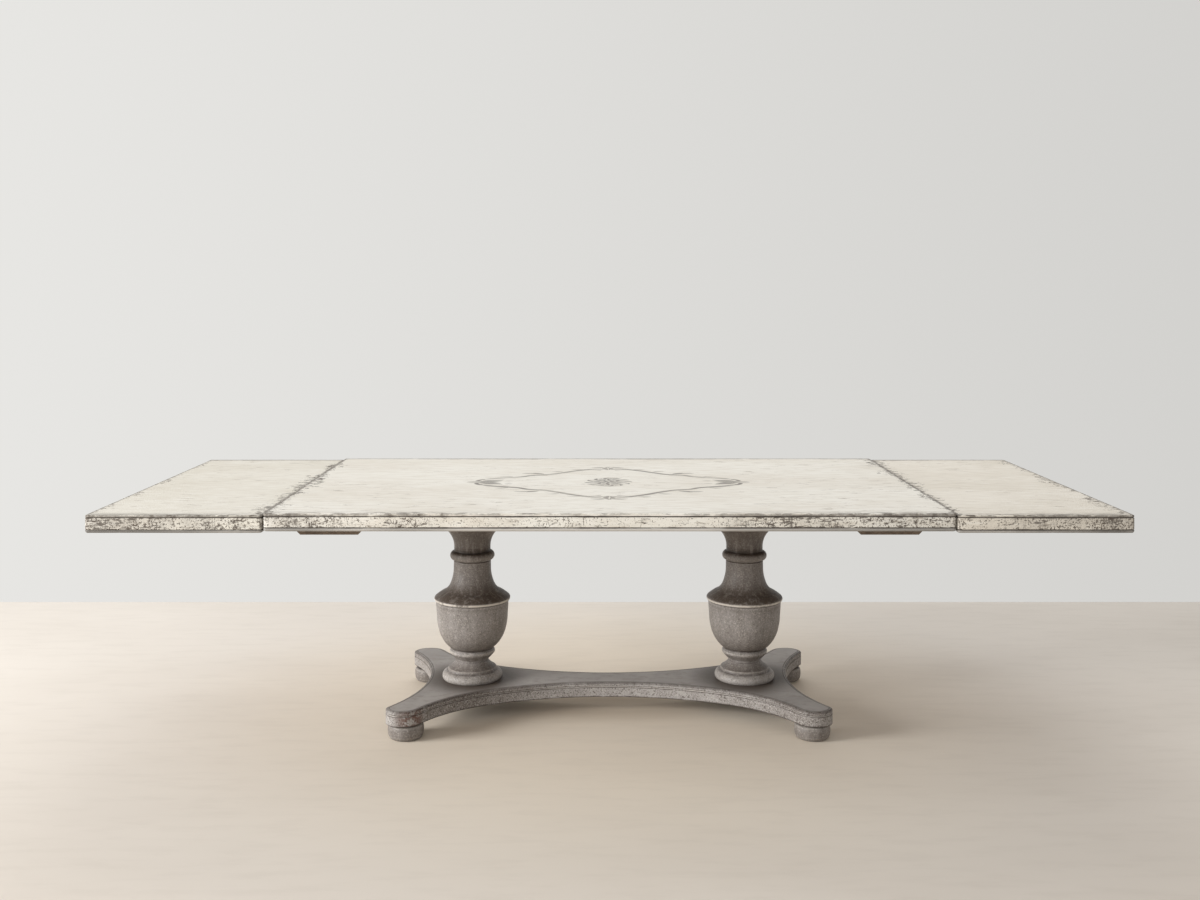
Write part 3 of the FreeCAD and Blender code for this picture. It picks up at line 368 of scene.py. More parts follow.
# What the CAD pieces that stay in sight are made of, by a word of their names. A later word wins.
CAD_PAINT = {
    "bearer": "stained_wood", "cap_plate": "stained_rail", "spine_rail": "stained_rail",
    "runner": "runner_hardwood", "wear_strips": "runner_hardwood", "leaf_dowels": "runner_hardwood",
    "pull_block": "batten_hardwood", "leaf_battens": "batten_hardwood", "stop_peg": "peg_hardwood",
    "screws": "zinc_steel", "tie_rod": "zinc_steel", "foot_bolts": "zinc_steel",
}
# Reaches of the wear on a slab's face: where it ends and where it is full, from the end, side or front
END_LINE_REACH = (0.018, 0.009)
BACK_LINE_REACH = (0.022, 0.012)
GRIME_REACH = (0.055, 0.004)
FRONT_REACH = (0.11, 0.04)
# Widths of the worn bands: the part that varies and the least
END_BAND = (0.052, 0.015)
SIDE_BAND = (0.034, 0.005)
# Heights, from the face down to where its wear starts and is full, and the same from the underside up
FACE_DEPTH = (0.0045, 0.0025)
UNDER_HEIGHT = (0.0012, 0.0004)
LIP_HEIGHT = (-0.0002, 0.0008)


def aged_cream(g, node):
    """The cream paint's colour, shared by a slab and the ornament on it."""
    light, deep = CREAM[node]
    cloud = g.noise((2.2, 3.5, 3.5), 3, 0.5)
    smear = g.noise((13, 58, 58), 5, 0.62, (2, 5, 1))
    grain = g.noise((8, 170, 170), 5, 0.65)
    streak = g.noise((13, 62, 62), 7, 0.72, (4, 1, 0))
    patch = g.noise((2.4, 4.5, 4.5), 3, 0.6, (2, 7, 0))
    hairline = streak.ramp(0.58, 0.65) * patch.ramp(0.37, 0.55)
    return g.layers(
        light,
        (cloud.ramp(0.35, 0.68), deep),
        (smear.ramp(0.46, 0.66) * 0.42, "cream_smear"),
        (smear.ramp(0.46, 0.34) * 0.35, "cream_pale"),
        (grain.ramp(0.5, 0.72) * 0.3, "cream_grain"),
        (hairline * 0.82, "cream_hairline"),
    )


def slab_material(node):
    """Worn cream paint over brown wood: dark along the ends and in the quirks, specked along the edge, and
    painted grey shade on the heel band.
    """
    low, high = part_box(node)
    g = paint(f"{node}_paint")
    x, y, z = g.split(g.place)
    middle = (low.x + high.x) / 2
    half_length = (high.x - low.x) / 2
    to_end = half_length - abs(x - middle)
    to_side = high.y - abs(y)
    streak = g.noise((22, 64, 64), 6, 0.72, (1, 3, 2))
    blotch = g.noise((14, 22, 22), 5, 0.6, (6, 2, 1))
    speck = g.noise((165, 165, 150), 5, 0.68)
    stroke = g.noise((230, 200, 75), 4, 0.65, (3, 3, 3))
    pepper = g.noise(185, 4, 0.68, (1, 6, 2))
    scrape = g.noise((40, 150, 190), 4, 0.65, (2, 6, 5))
    swell = g.noise((4.5, 4.5, 1), 2, 0.5, (3, 1, 0)).ramp(0.42, 0.62)
    fray = g.noise((40, 62, 62), 5, 0.72, (5, 2, 8))
    cluster = g.noise((42, 42, 60), 3, 0.6, (7, 2, 4)).ramp(0.38, 0.58)
    spread = g.noise((2, 5.5, 2), 3, 0.6, (9, 4, 0))
    at_front = y.ramp(*(low.y + reach for reach in FRONT_REACH))
    elsewhere = g.noise((3, 3, 1), 3, 0.5, (1, 9, 0)).ramp(0.35, 0.7)
    front_dull = g.along(x, FRONT_DULL[node])
    dull = g.mix(at_front, elsewhere, front_dull)
    dash = g.along(x, FRONT_DASH[node]) * at_front

    # Worn bands on the face, along the ends and the long sides
    face = z.ramp(*(high.z - depth for depth in FACE_DEPTH))
    end_reach = spread.ramp(0.36, 0.64) * END_BAND[0] + END_BAND[1]
    end_band = (1 - to_end / end_reach).held()
    end_wear = (end_band * 0.15 + fray).ramp(0.61, 0.64) * end_band.ramp(0.0, 0.18)
    end_line = (to_end + fray * 0.012).ramp(*END_LINE_REACH) * streak.ramp(0.36, 0.5)
    side_reach = spread.ramp(0.44, 0.62) * SIDE_BAND[0] + SIDE_BAND[1]
    side_band = (1 - to_side / side_reach).held()
    side_wear = (side_band * 0.2 + streak).ramp(0.62, 0.69) * side_band.ramp(0.0, 0.3) * (1 - at_front * 0.55)
    back_line = to_side.ramp(*BACK_LINE_REACH) * y.ramp(0.0, 0.1) * blotch.ramp(0.3, 0.46) * 0.85
    grime = to_side.ramp(*GRIME_REACH) * (dull * 0.7 + 0.3) * (streak + dull * 0.12).ramp(0.45, 0.58)
    tone = (fray.ramp(0.5, 0.6) + end_line * 0.6).held()
    scored = g.noise((15, 60, 60), 6, 0.7, (5, 5, 1))
    scratch = scored.ramp(0.64, 0.69) * g.noise((1.8, 4, 4), 2, 0.5, (8, 1, 0)).ramp(0.48, 0.62)

    # Chips and specks on the moulded edge
    band, groove, corner, heel = g.attributes("band", "groove", "corner", "heel")
    quirk, worn = g.attributes("quirk", "worn")
    worn *= cluster
    chip = (worn * 0.1 + speck).ramp(0.635, 0.655) * band
    dent = (worn * 0.1 + stroke).ramp(0.645, 0.665) * band
    smudge = (dull * 0.46 + speck * 0.15 + blotch * 0.7).ramp(0.5, 0.88) * (dull * 0.34 + 0.16)
    rasp = (worn * 0.04 + dash * 0.09 + scrape).ramp(0.635, 0.66) * band
    lip = z.ramp(*(high.z - SLAB_EDGES[node]["bead"] + height for height in LIP_HEIGHT))
    film = lip * (streak * 0.5 + blotch * 0.4 + dull * 0.35).ramp(0.42, 0.64) * 0.9
    rub = quirk * (dull * 0.75 + blotch.ramp(0.42, 0.6) * 0.35).held()
    ragged = corner * (stroke.ramp(0.46, 0.56) * 0.7 + 0.15).held()
    dots = (dull * 0.11 + pepper).ramp(0.645, 0.665) * band
    on_face = (end_wear + end_line + side_wear + back_line + grime * 0.8 + scratch * 0.6).held()
    on_edge = (smudge + film + rub + ragged).held() * (1 - face)
    specks = (chip + dent + dots + rasp).held()
    wear = (on_face * face + specks + on_edge).held()

    wood = g.mix(blotch.ramp(0.4, 0.62), "bare_wood", "bare_grey")
    grey = g.mix(speck.ramp(0.4, 0.6), "rubbed", "rubbed_deep")
    # Painted shade: the heel band under the lower quirk is painted grey, as if in shade, and deeper where the
    # front edge is grimy
    heel_shade_tone = g.mix((dull + 0.12).held(), "heel", "heel_shade_deep")
    dirt = (groove * 0.5 + blotch * 0.7 + swell * 0.12).ramp(0.6, 0.78)
    under = z.ramp(*(low.z + height for height in UNDER_HEIGHT))
    colour = g.layers(
        aged_cream(g, node),
        ((on_face * face + on_edge).held() * 0.9, g.mix(tone, grey, wood)),
        (specks * 0.92, wood),
        (heel * 0.92, heel_shade_tone),
        (dirt * groove.ramp(0.0, 0.15) * (0.94 - dull * 0.38), "quirk_dirt"),
        (under * 0.85, "underside"),
    )
    roughness = wear * 0.25 + 0.5
    relief = ((1 - wear) * 0.6 + streak * 0.3).held()
    return g.finish(colour, roughness, relief, bump=0.5, depth=0.0006)


def taupe_material():
    """Grey-taupe paint with pale worn arrises, dark glaze in the hollows, glaze and painted shade by height,
    and fine specks.
    """
    g = paint("taupe_paint")
    arris, hollow, shade, pale = g.attributes("arris", "groove", "shade", "pale")
    cloud = g.noise((9, 9, 6), 4, 0.6)
    brush = g.noise((62, 62, 7), 6, 0.66)
    mottle = g.noise(80, 5, 0.7, (4, 4, 1))
    speck = g.noise(230, 3, 0.62)
    fleck = g.noise(180, 4, 0.7, (3, 1, 2))
    blotch = g.noise(34, 5, 0.65, (1, 2, 5))
    bright = 1 - shade
    worn = arris * bright * (blotch + speck * 0.25).ramp(0.48, 0.64)
    colour = g.layers(
        "taupe",
        (cloud.ramp(0.36, 0.66), "taupe_deep"),
        (brush.ramp(0.44, 0.62) * 0.32, "taupe_brushed"),
        (mottle.ramp(0.46, 0.66) * 0.38, "taupe_brushed"),
        # Glaze and painted shade by height
        (shade, "taupe_shade"),
        (brush.ramp(0.5, 0.38) * shade * 0.3, "taupe_streak"),
        (speck.ramp(0.53, 0.64) * (bright * 0.4 + 0.12).held(), "taupe_speck"),
        (fleck.ramp(0.55, 0.62) * 0.46, "taupe_fleck"),
        (worn * 0.85, "taupe_worn"),
        (worn * fleck.ramp(0.52, 0.56) * 0.9, "taupe_worn_fleck"),
        (pale * blotch.ramp(0.32, 0.52) * 0.9, "taupe_pale"),
        (hollow * blotch.ramp(0.25, 0.55) * 0.85, "taupe_glaze"),
    )
    roughness = worn * 0.15 + fleck * 0.2 + 0.36
    relief = (fleck * 0.6 + brush * 0.3).held()
    return g.finish(colour, roughness, relief, bump=0.35, depth=0.0005, specular=0.25)


PATCH_PLACE = (-0.618, -0.35, 0.076)
PATCH_REACH = 0.06
# How dark the plinth's front side is: place along X, level from 0 to 1
PLINTH_DULL = [(-0.72, 0.45), (-0.64, 0.35), (-0.56, 0.85), (-0.44, 1), (-0.33, 0.65), (-0.2, 0.25),
               (0, 0.15), (0.3, 0.15), (0.46, 0.6), (0.58, 0.85), (0.72, 0.6)]
# How far the dark glaze and the painted shade spread on the plinth round a pedestal's foot
FOOT_SHADE_AND_GLAZE_REACH = (0.23, 0.112)


def plinth_material():
    """Grey paint, speckled along the moulded edge, dark on its arrises and worn pale in its quirk, with dark
    glaze and painted shade round each pedestal's foot.
    """
    g = paint("plinth_paint")
    x, y, _ = g.split(g.place)
    axis_x = middle_of("tie_rod_right").x
    quirk, dark, band = g.attributes("quirk", "dark", "band")
    cloud = g.noise(5, 4, 0.6)
    rubbed = g.noise((26, 40, 26), 5, 0.62, (2, 2, 2))
    speck = g.noise(260, 4, 0.66)
    fleck = g.noise(190, 4, 0.7, (3, 1, 2))
    blotch = g.noise((22, 22, 30), 5, 0.65, (1, 2, 5))
    dull = (g.along(x, PLINTH_DULL) * y.ramp(0.0, -0.04) + y.ramp(0.02, 0.12) * 0.65).held()
    off_axis = abs(x) - axis_x
    from_axis = g.math("SQRT", off_axis * off_axis + y * y)
    side = g.layers(
        "plinth_side",
        (blotch.ramp(0.36, 0.64), "plinth_side_deep"),
        (dull * 0.65, "plinth_dull"),
        (speck.ramp(0.51, 0.6) * 0.6, "plinth_speck"),
        ((dull * 0.04 + fleck).ramp(0.55, 0.61) * 0.8, "plinth_fleck"),
    )
    worn = quirk * (blotch + speck * 0.25).ramp(0.46, 0.6) * (1 - dull * 0.7)
    away = g.distance(g.place, PATCH_PLACE)
    bare = away.ramp(PATCH_REACH, PATCH_REACH * 0.3) * (blotch + fleck * 0.4).ramp(0.6, 0.74) * band
    colour = g.layers(
        "plinth",
        (cloud.ramp(0.36, 0.66), "plinth_deep"),
        (rubbed.ramp(0.46, 0.7) * 0.42, "plinth_rubbed"),
        # Dark glaze and painted shade round each pedestal's foot
        ((from_axis + rubbed * 0.03).ramp(*FOOT_SHADE_AND_GLAZE_REACH) * 0.95, "plinth_shade_and_glaze"),
        (band, side),
        (worn * 0.88, "plinth_worn"),
        (bare * 0.85, "plinth_bare"),
        (dark * blotch.ramp(0.22, 0.5) * 0.85, "plinth_glaze"),
    )
    roughness = fleck * 0.25 + 0.4
    relief = (fleck * 0.5 + speck * 0.2 + rubbed * 0.2).held()
    return g.finish(colour, roughness, relief, bump=0.35, depth=0.0006, specular=0.3)


def wood_material(name, light, dark, along):
    """Bare or stained wood whose grain runs along one axis."""
    g = paint(name)
    fine = [150.0, 150.0, 150.0]
    broad = [38.0, 38.0, 38.0]
    fine[along] = 6.0
    broad[along] = 1.8
    grain = g.noise(fine, 6, 0.65)
    figure = g.noise(broad, 3, 0.55, (3, 2, 1), distortion=0.6)
    pore = tuple(int(value * 0.62) for value in dark)
    colour = g.mix(grain.ramp(0.52, 0.7) * 0.55, g.mix(figure.ramp(0.34, 0.66), light, dark), pore)
    return g.finish(colour, grain * 0.2 + 0.45, grain, bump=0.3, depth=0.0004)


def steel_material():
    g = paint("zinc_steel")
    cloud = g.noise(300, 3, 0.5)
    colour = g.mix(cloud.ramp(0.4, 0.6), "steel", "steel_deep")
    return g.finish(colour, cloud * 0.2 + 0.28, cloud, bump=0.1, depth=0.0002, metallic=1.0)


def ornament_material():
    """Grey painted scrollwork, rubbed away in places to the cream beneath."""
    g = paint("ornament_paint")
    rub = g.noise((16, 110, 110), 6, 0.7, (7, 1, 2))
    wash = g.noise((3, 5, 5), 2, 0.5, (1, 8, 2))
    across, strength = g.attributes("across", "strength")
    cover = across.ramp(1.0, 0.35) * strength * (rub + wash * 0.4).ramp(0.98, 0.7)
    tint = g.mix(wash.ramp(0.4, 0.6), "vine", "vine_thin")
    colour = g.mix(cover * 0.92, aged_cream(g, "main_top"), tint)
    return g.finish(colour, 0.52, rub, bump=0.15, depth=0.0004)


# Mesh tools
def arc_points(start, middle, end, count):
    """Points along the circle through three points, without the first."""
    a, b, c = (complex(*point) for point in (start, middle, end))
    ratio = (c - a) / (b - a)
    centre = a + (b - a) * (ratio - abs(ratio) ** 2) / (2j * ratio.imag)
    swing = cmath.phase((b - centre) / (a - centre))
    whole = cmath.phase((c - centre) / (a - centre))
    if swing * whole < 0:
        whole += math.copysign(2 * math.pi, swing)
    points = centre + (a - centre) * np.exp(1j * whole * np.arange(1, count + 1) / count)
    return list(zip(points.real, points.imag))


def traced(steps, spacing):
    """Evenly spaced points along an outline of lines and arcs, with each sharp corner slightly eased."""
    dense = list(steps[0])
    for *middle, end in steps[1:]:
        dense += arc_points(dense[-1], middle[0], end, ARC_STEPS) if middle else [end]
    points = [np.array(dense[0])]
    for before, here, after in zip(dense, dense[1:], dense[2:]):
        a, b, c = (np.array(p) for p in (before, here, after))
        back, ahead = np.linalg.norm(a - b), np.linalg.norm(c - b)
        bend = np.dot(b - a, c - b) / (back * ahead)
        if bend > CURVE_COSINE:
            points.append(b)
        else:
            points.append(b + (a - b) / back * min(CORNER_BREAK, back * CORNER_BREAK_SHARE))
            points.append(b + (c - b) / ahead * min(CORNER_BREAK, ahead * CORNER_BREAK_SHARE))
    points.append(np.array(dense[-1]))
    filled = [points[0]]
    for a, b in zip(points, points[1:]):
        pieces = max(1, math.ceil(np.linalg.norm(b - a) / spacing))
        filled += [a + (b - a) * i / pieces for i in range(1, pieces + 1)]
    return np.array(filled)


def lengths_of(points):
    """The distance along an outline to each of its points."""
    return np.concatenate([[0], np.cumsum(np.linalg.norm(np.diff(points, axis=0), axis=1))])


def at_lengths(points, distances):
    """The points at some distances along an outline."""
    lengths = lengths_of(points)
    return np.stack([np.interp(distances, lengths, points[:, k]) for k in (0, 1)], axis=1)


def bends(points, reach):
    """How sharply an outline turns at each point: above 0 where it is proud, below 0 where it is hollow."""
    lengths = lengths_of(points)
    before = points - at_lengths(points, lengths - reach)
    after = at_lengths(points, lengths + reach) - points
    cross = before[:, 0] * after[:, 1] - before[:, 1] * after[:, 0]
    return np.arctan2(cross, (before * after).sum(axis=1))


def add_object(name, data):
    made = bpy.data.objects.new(name, data)
    bpy.context.scene.collection.objects.link(made)
    return made


def middle_of(node):
    low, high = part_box(node)
    return (low + high) / 2


def add_mesh(name, vertices, faces, material, body, replaced, attributes):
    mesh = bpy.data.meshes.new(name)
    mesh.from_pydata(np.reshape(vertices, (-1, 3)).tolist(), [], faces)
    for key, values in attributes.items():
        layer = mesh.attributes.new(key, "FLOAT", "POINT")
        layer.data.foreach_set("value", np.asarray(values, dtype=np.float32).ravel())
    mesh.validate()
    mesh.polygons.foreach_set("use_smooth", [len(face.vertices) < 5 for face in mesh.polygons])
    mesh.materials.append(material)
    piece = add_object(name, mesh)
    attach(piece, body)
    if replaced:
        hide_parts(*replaced)
    return piece


def ring_faces(rows, columns):
    """Quads of a grid of vertices, row by row. The last row joins the first."""
    faces = []
    for i in range(rows):
        following = (i + 1) % rows
        for j in range(columns - 1):
            a = i * columns + j
            b = following * columns + j
            faces.append((a, a + 1, b + 1, b))
    return faces


def lathe(kind, node, axis, bottom, top, material):
    """A turned piece on an upright axis, from its outline's shares. It stands for a CAD node."""
    thin, full = THIN_RADIUS[kind], FULL_RADIUS[kind]

    def place(point):
        return (thin + (full - thin) * point[0], bottom + (top - bottom) * point[1])

    outline = traced([[place(point) for point in step] for step in OUTLINE_SHARES[kind]], TURNED_STEP)
    radius, height = outline[:, 0] - SKIN / 3, outline[:, 1]
    turn = bends(outline, BEND_REACH["turned"])
    angles = np.linspace(0, 2 * math.pi, TURNED_STEPS, endpoint=False)
    count = len(outline)
    vertices = np.empty((TURNED_STEPS, count, 3))
    rays = np.stack([np.cos(angles), np.sin(angles)], axis=1)
    vertices[:, :, :2] = axis[:2] + rays[:, None] * radius[:, None]
    vertices[:, :, 2] = height
    faces = [tuple(reversed(face)) for face in ring_faces(TURNED_STEPS, count)]
    faces.append(tuple(i * count for i in reversed(range(TURNED_STEPS))))
    faces.append(tuple(i * count + count - 1 for i in range(TURNED_STEPS)))
    levels = {"arris": np.clip(turn * 1.1, 0, 1),
              "groove": np.maximum(np.clip(-turn * 1.3, 0, 1), [marked_at(z, POOLED) for z in height]),
              "shade": np.interp(height, *zip(*GLAZE_AND_SHADE)),
              "pale": [marked_at(z, PALED) for z in height]}
    attributes = {key: np.tile(values, TURNED_STEPS) for key, values in levels.items()}
    return add_mesh(node + "_turned", vertices, faces, material, BODY, [node], attributes)


# How dark the pedestal is painted at each height, from 0 to 1: partly dark glaze and partly painted shade, as
# on the feet and under the top
GLAZE_AND_SHADE = [
    (0, 0.55), (0.05, 0.45), (0.1, 0.25), (0.11, 0), (0.125, 0.25), (0.14, 0.75), (0.155, 0.55),
    (0.165, 0.35), (0.172, 0.5), (0.182, 0.6), (0.193, 0.32), (0.2, 0.25), (0.207, 0.85), (0.215, 0.65),
    (0.23, 0.52), (0.25, 0.36), (0.27, 0.22), (0.3, 0.08), (0.345, 0.06), (0.352, 0.3), (0.358, 0),
    (0.364, 0), (0.369, 0.8), (0.38, 1), (0.395, 1), (0.41, 0.78), (0.43, 0.5), (0.46, 0.44),
    (0.495, 0.5), (0.499, 0.9), (0.503, 0.5), (0.515, 0.6), (0.521, 0.8), (0.526, 1), (0.541, 1),
    (0.548, 0.76), (0.56, 0.7), (0.6, 0.62), (0.63, 0.8),
]
# Places where it has pooled: height and half height
POOLED = [(0.5325, 0.0085), (0.4985, 0.0025), (0.2065, 0.003), (0.3635, 0.0016)]
# Places where it is rubbed off in a line
PALED = [(0.3695, 0.004)]


def marked_at(z, places):
    """1 in the middle of a marked place, falling to 0 at its ends."""
    return max(max(0.0, 1 - abs(z - middle) / half) ** 0.5 for middle, half in places)


def rim_path(low, high, radius, step):
    """Anchors and outward directions round a rectangle with round corners, counterclockwise from above."""
    corners = [(high.x - radius, high.y - radius, 0), (low.x + radius, high.y - radius, 1),
               (low.x + radius, low.y + radius, 2), (high.x - radius, low.y + radius, 3)]
    anchors, normals = [], []
    for index, (cx, cy, quarter) in enumerate(corners):
        for k in range(CORNER_STEPS + 1):
            angle = (quarter + k / CORNER_STEPS) * math.pi / 2
            anchors.append((cx, cy))
            normals.append((math.cos(angle), math.sin(angle)))
        nx, ny, _ = corners[(index + 1) % 4]
        length = math.hypot(nx - cx, ny - cy)
        count = round(length / step)
        for k in range(1, count):
            anchors.append((cx + (nx - cx) * k / count, cy + (ny - cy) * k / count))
            normals.append(normals[-1])
    return np.array(anchors), np.array(normals)


def swept(anchors, normals, reach, outline, quirk, wear, chips):
    """Vertices of a rim's outline, as (inset, height), carried round a path and worn back a little.

    The wear is a slow waver everywhere, and chips, deepest in the quirks.
    """
    depth, threshold, flat_share = chips
    last = len(outline) - 1
    tangent = np.gradient(outline, axis=0)
    tangent /= np.linalg.norm(tangent, axis=1)[:, None]
    inward = np.stack([-tangent[:, 1], tangent[:, 0]], axis=1)
    vertices = np.empty((len(anchors), len(outline), 3))
    for i, (anchor, normal) in enumerate(zip(anchors, normals)):
        for j, (inset, z) in enumerate(outline):
            here = Vector((*(anchor + normal * (reach - inset)), z))
            back = WAVER_DEPTH * (1 + noise.noise(here * WAVER_SCALE))
            if 0 < j < last:
                chip = noise.noise(here * CHIP_SCALE) + wear[i] - threshold
                back += max(0.0, chip) * depth * (flat_share + quirk[j])
            inset += inward[j][0] * back
            vertices[i, j] = (*(anchor + normal * (reach - inset)), z + inward[j][1] * back)
    return vertices


def arris_round(x, z, radius, up):
    """The middle and end of a quarter round, at the top (up = -1) or the bottom (up = 1) of an edge."""
    middle = (x + radius * DIAGONAL, z + up * radius * DIAGONAL)
    return [middle, (x, z - radius) if up < 0 else (x + radius, z)]


def slab_outline(low_z, high_z, bead, heel):
    """The moulded edge from the top face out and down to the underside."""
    top = high_z - SKIN
    bottom = low_z + SKIN
    edge = SKIN
    cut = edge + QUIRK_DEPTH
    heel_round = heel * HEEL_ROUND_SHARE
    steps = [
        [(CORNER_RADIUS * 0.95, top)],
        [(edge + BEAD_ROUND, top)],
        arris_round(edge, top, BEAD_ROUND, -1),
        [(edge, high_z - bead + 0.0012)],
        [(edge + 0.001, high_z - bead)],
        [(cut, high_z - bead - QUIRK_WIDTH * 0.25)],
        [(cut, high_z - bead - QUIRK_WIDTH * 0.75)],
        [(edge, high_z - bead - QUIRK_WIDTH)],
        [(edge, low_z + heel + QUIRK_WIDTH)],
        [(cut, low_z + heel + QUIRK_WIDTH * 0.75)],
        [(cut, low_z + heel + QUIRK_WIDTH * 0.25)],
        [(edge, low_z + heel)],
        [(edge, bottom + heel_round)],
        arris_round(edge, bottom, heel_round, 1),
        [(CORNER_RADIUS * 0.95, bottom)],
    ]
    return traced(steps, PROFILE_STEP)


def slab(node, body, material):
    """One slab: a moulded edge with small chips, carried round its rim, and flat faces."""
    low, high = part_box(node)
    bead, heel = SLAB_EDGES[node]["bead"], SLAB_EDGES[node]["heel"]
    outline = slab_outline(low.z, high.z, bead, heel)
    quirk = np.clip(-1.2 * bends(outline, BEND_REACH["slab"]), 0, 1)
    z = outline[:, 1]
    upper, lower = high.z - bead - QUIRK_WIDTH / 2, low.z + heel + QUIRK_WIDTH / 2
    to_quirk = np.minimum(abs(z - upper), abs(z - lower))
    in_groove = np.clip((DIRT_REACH - to_quirk) / (DIRT_REACH - QUIRK_WIDTH / 2), 0, 1)
    anchors, normals = rim_path(low, high, CORNER_RADIUS, PATH_STEP)

    def wear_at(x, y):
        if y < 0 and abs(y) > high.y * 0.97:
            return min(MOST_WORN, sum(s * math.exp(-((x - c) / w) ** 2) for c, w, s in FRONT_WEAR[node]))
        return max(0.0, 0.5 + 1.1 * noise.noise(Vector((x * 3.0 + 5.0, y * 3.0, 0.3))))

    worn = np.array([wear_at(*(a + n * CORNER_RADIUS)) for a, n in zip(anchors, normals)])
    vertices = swept(anchors, normals, CORNER_RADIUS, outline, quirk, WORN_CHIPS * worn, SLAB_CHIPS)
    vertices[:, 0, 2] = high.z - SKIN
    vertices[:, 1, 2] = np.minimum(vertices[:, 1, 2], high.z - SKIN)
    vertices[:, -1, 2] = low.z + SKIN
    rows, columns = len(anchors), len(outline)
    faces = ring_faces(rows, columns)
    faces.append(tuple(i * columns for i in range(rows)))
    faces.append(tuple(i * columns + columns - 1 for i in reversed(range(rows))))
    turning = np.clip(1.6 * abs(normals[:, 0]), 0, 1) * np.clip(3 * abs(normals[:, 1]), 0, 1)
    attributes = {
        "band": np.tile((z < upper) & (z > lower), rows),
        "quirk": np.tile(quirk, rows),
        "groove": np.tile(in_groove, rows),
        "heel": np.tile(z < low.z + heel, rows),
        "worn": np.repeat(worn, columns),
        "corner": np.repeat(turning, columns),
    }
    return add_mesh(node + "_aged", vertices, faces, material, body,
                    [node], attributes)


# The plinth's moulded edge
PLINTH_STEP = 0.005
PLINTH_PROFILE_STEP = 0.0016
PLINTH_BEAD = 0.014
PLINTH_QUIRK = 0.0025
PLINTH_TOP_ROUND = 0.007
PLINTH_BOTTOM_ROUND = 0.003
PLINTH_LINE_DEPTH = 0.0012
PLINTH_FACE_INSET = 0.0165
# The dark line scribed on the top beside the bead: its inset and half width
PLINTH_SCRIBE = (0.0106, 0.0032)
SLICE_SHARE = 0.4


def slice_outline(node, height):
    """The closed outline where a level plane cuts a CAD node, counterclockwise from above."""
    cut = bmesh.new()
    cut.from_mesh(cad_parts[node].data)
    bmesh.ops.remove_doubles(cut, verts=cut.verts, dist=1e-6)
    whole = cut.verts[:] + cut.edges[:] + cut.faces[:]
    made = bmesh.ops.bisect_plane(cut, geom=whole, plane_co=(0, 0, height), plane_no=(0, 0, 1))
    links = {}
    for edge in made["geom_cut"]:
        if isinstance(edge, bmesh.types.BMEdge):
            a, b = edge.verts
            links.setdefault(a, []).append(b)
            links.setdefault(b, []).append(a)
    loops = []
    while links:
        here, ends = links.popitem()
        loops.append([(here.co.x, here.co.y)])
        while following := [vertex for vertex in ends if vertex in links]:
            here = following[0]
            ends = links.pop(here)
            loops[-1].append((here.co.x, here.co.y))
    cut.free()
    longest = np.array(max(loops, key=lambda loop: np.ptp([p[0] for p in loop])))
    area = np.sum(longest[:, 0] * np.roll(longest[:, 1], -1) - np.roll(longest[:, 0], -1) * longest[:, 1])
    return longest if area > 0 else longest[::-1]


def even_loop(points, step):
    """A closed outline with evenly spaced points, and its outward directions."""
    closed = np.vstack([points, points[:1]])
    length = lengths_of(closed)[-1]
    even = at_lengths(closed, np.linspace(0, length, round(length / step), endpoint=False))
    for _ in range(2):
        even = (np.roll(even, 1, axis=0) + 2 * even + np.roll(even, -1, axis=0)) / 4
    tangent = np.roll(even, -1, axis=0) - np.roll(even, 1, axis=0)
    tangent /= np.linalg.norm(tangent, axis=1)[:, None]
    return even, np.stack([tangent[:, 1], -tangent[:, 0]], axis=1)


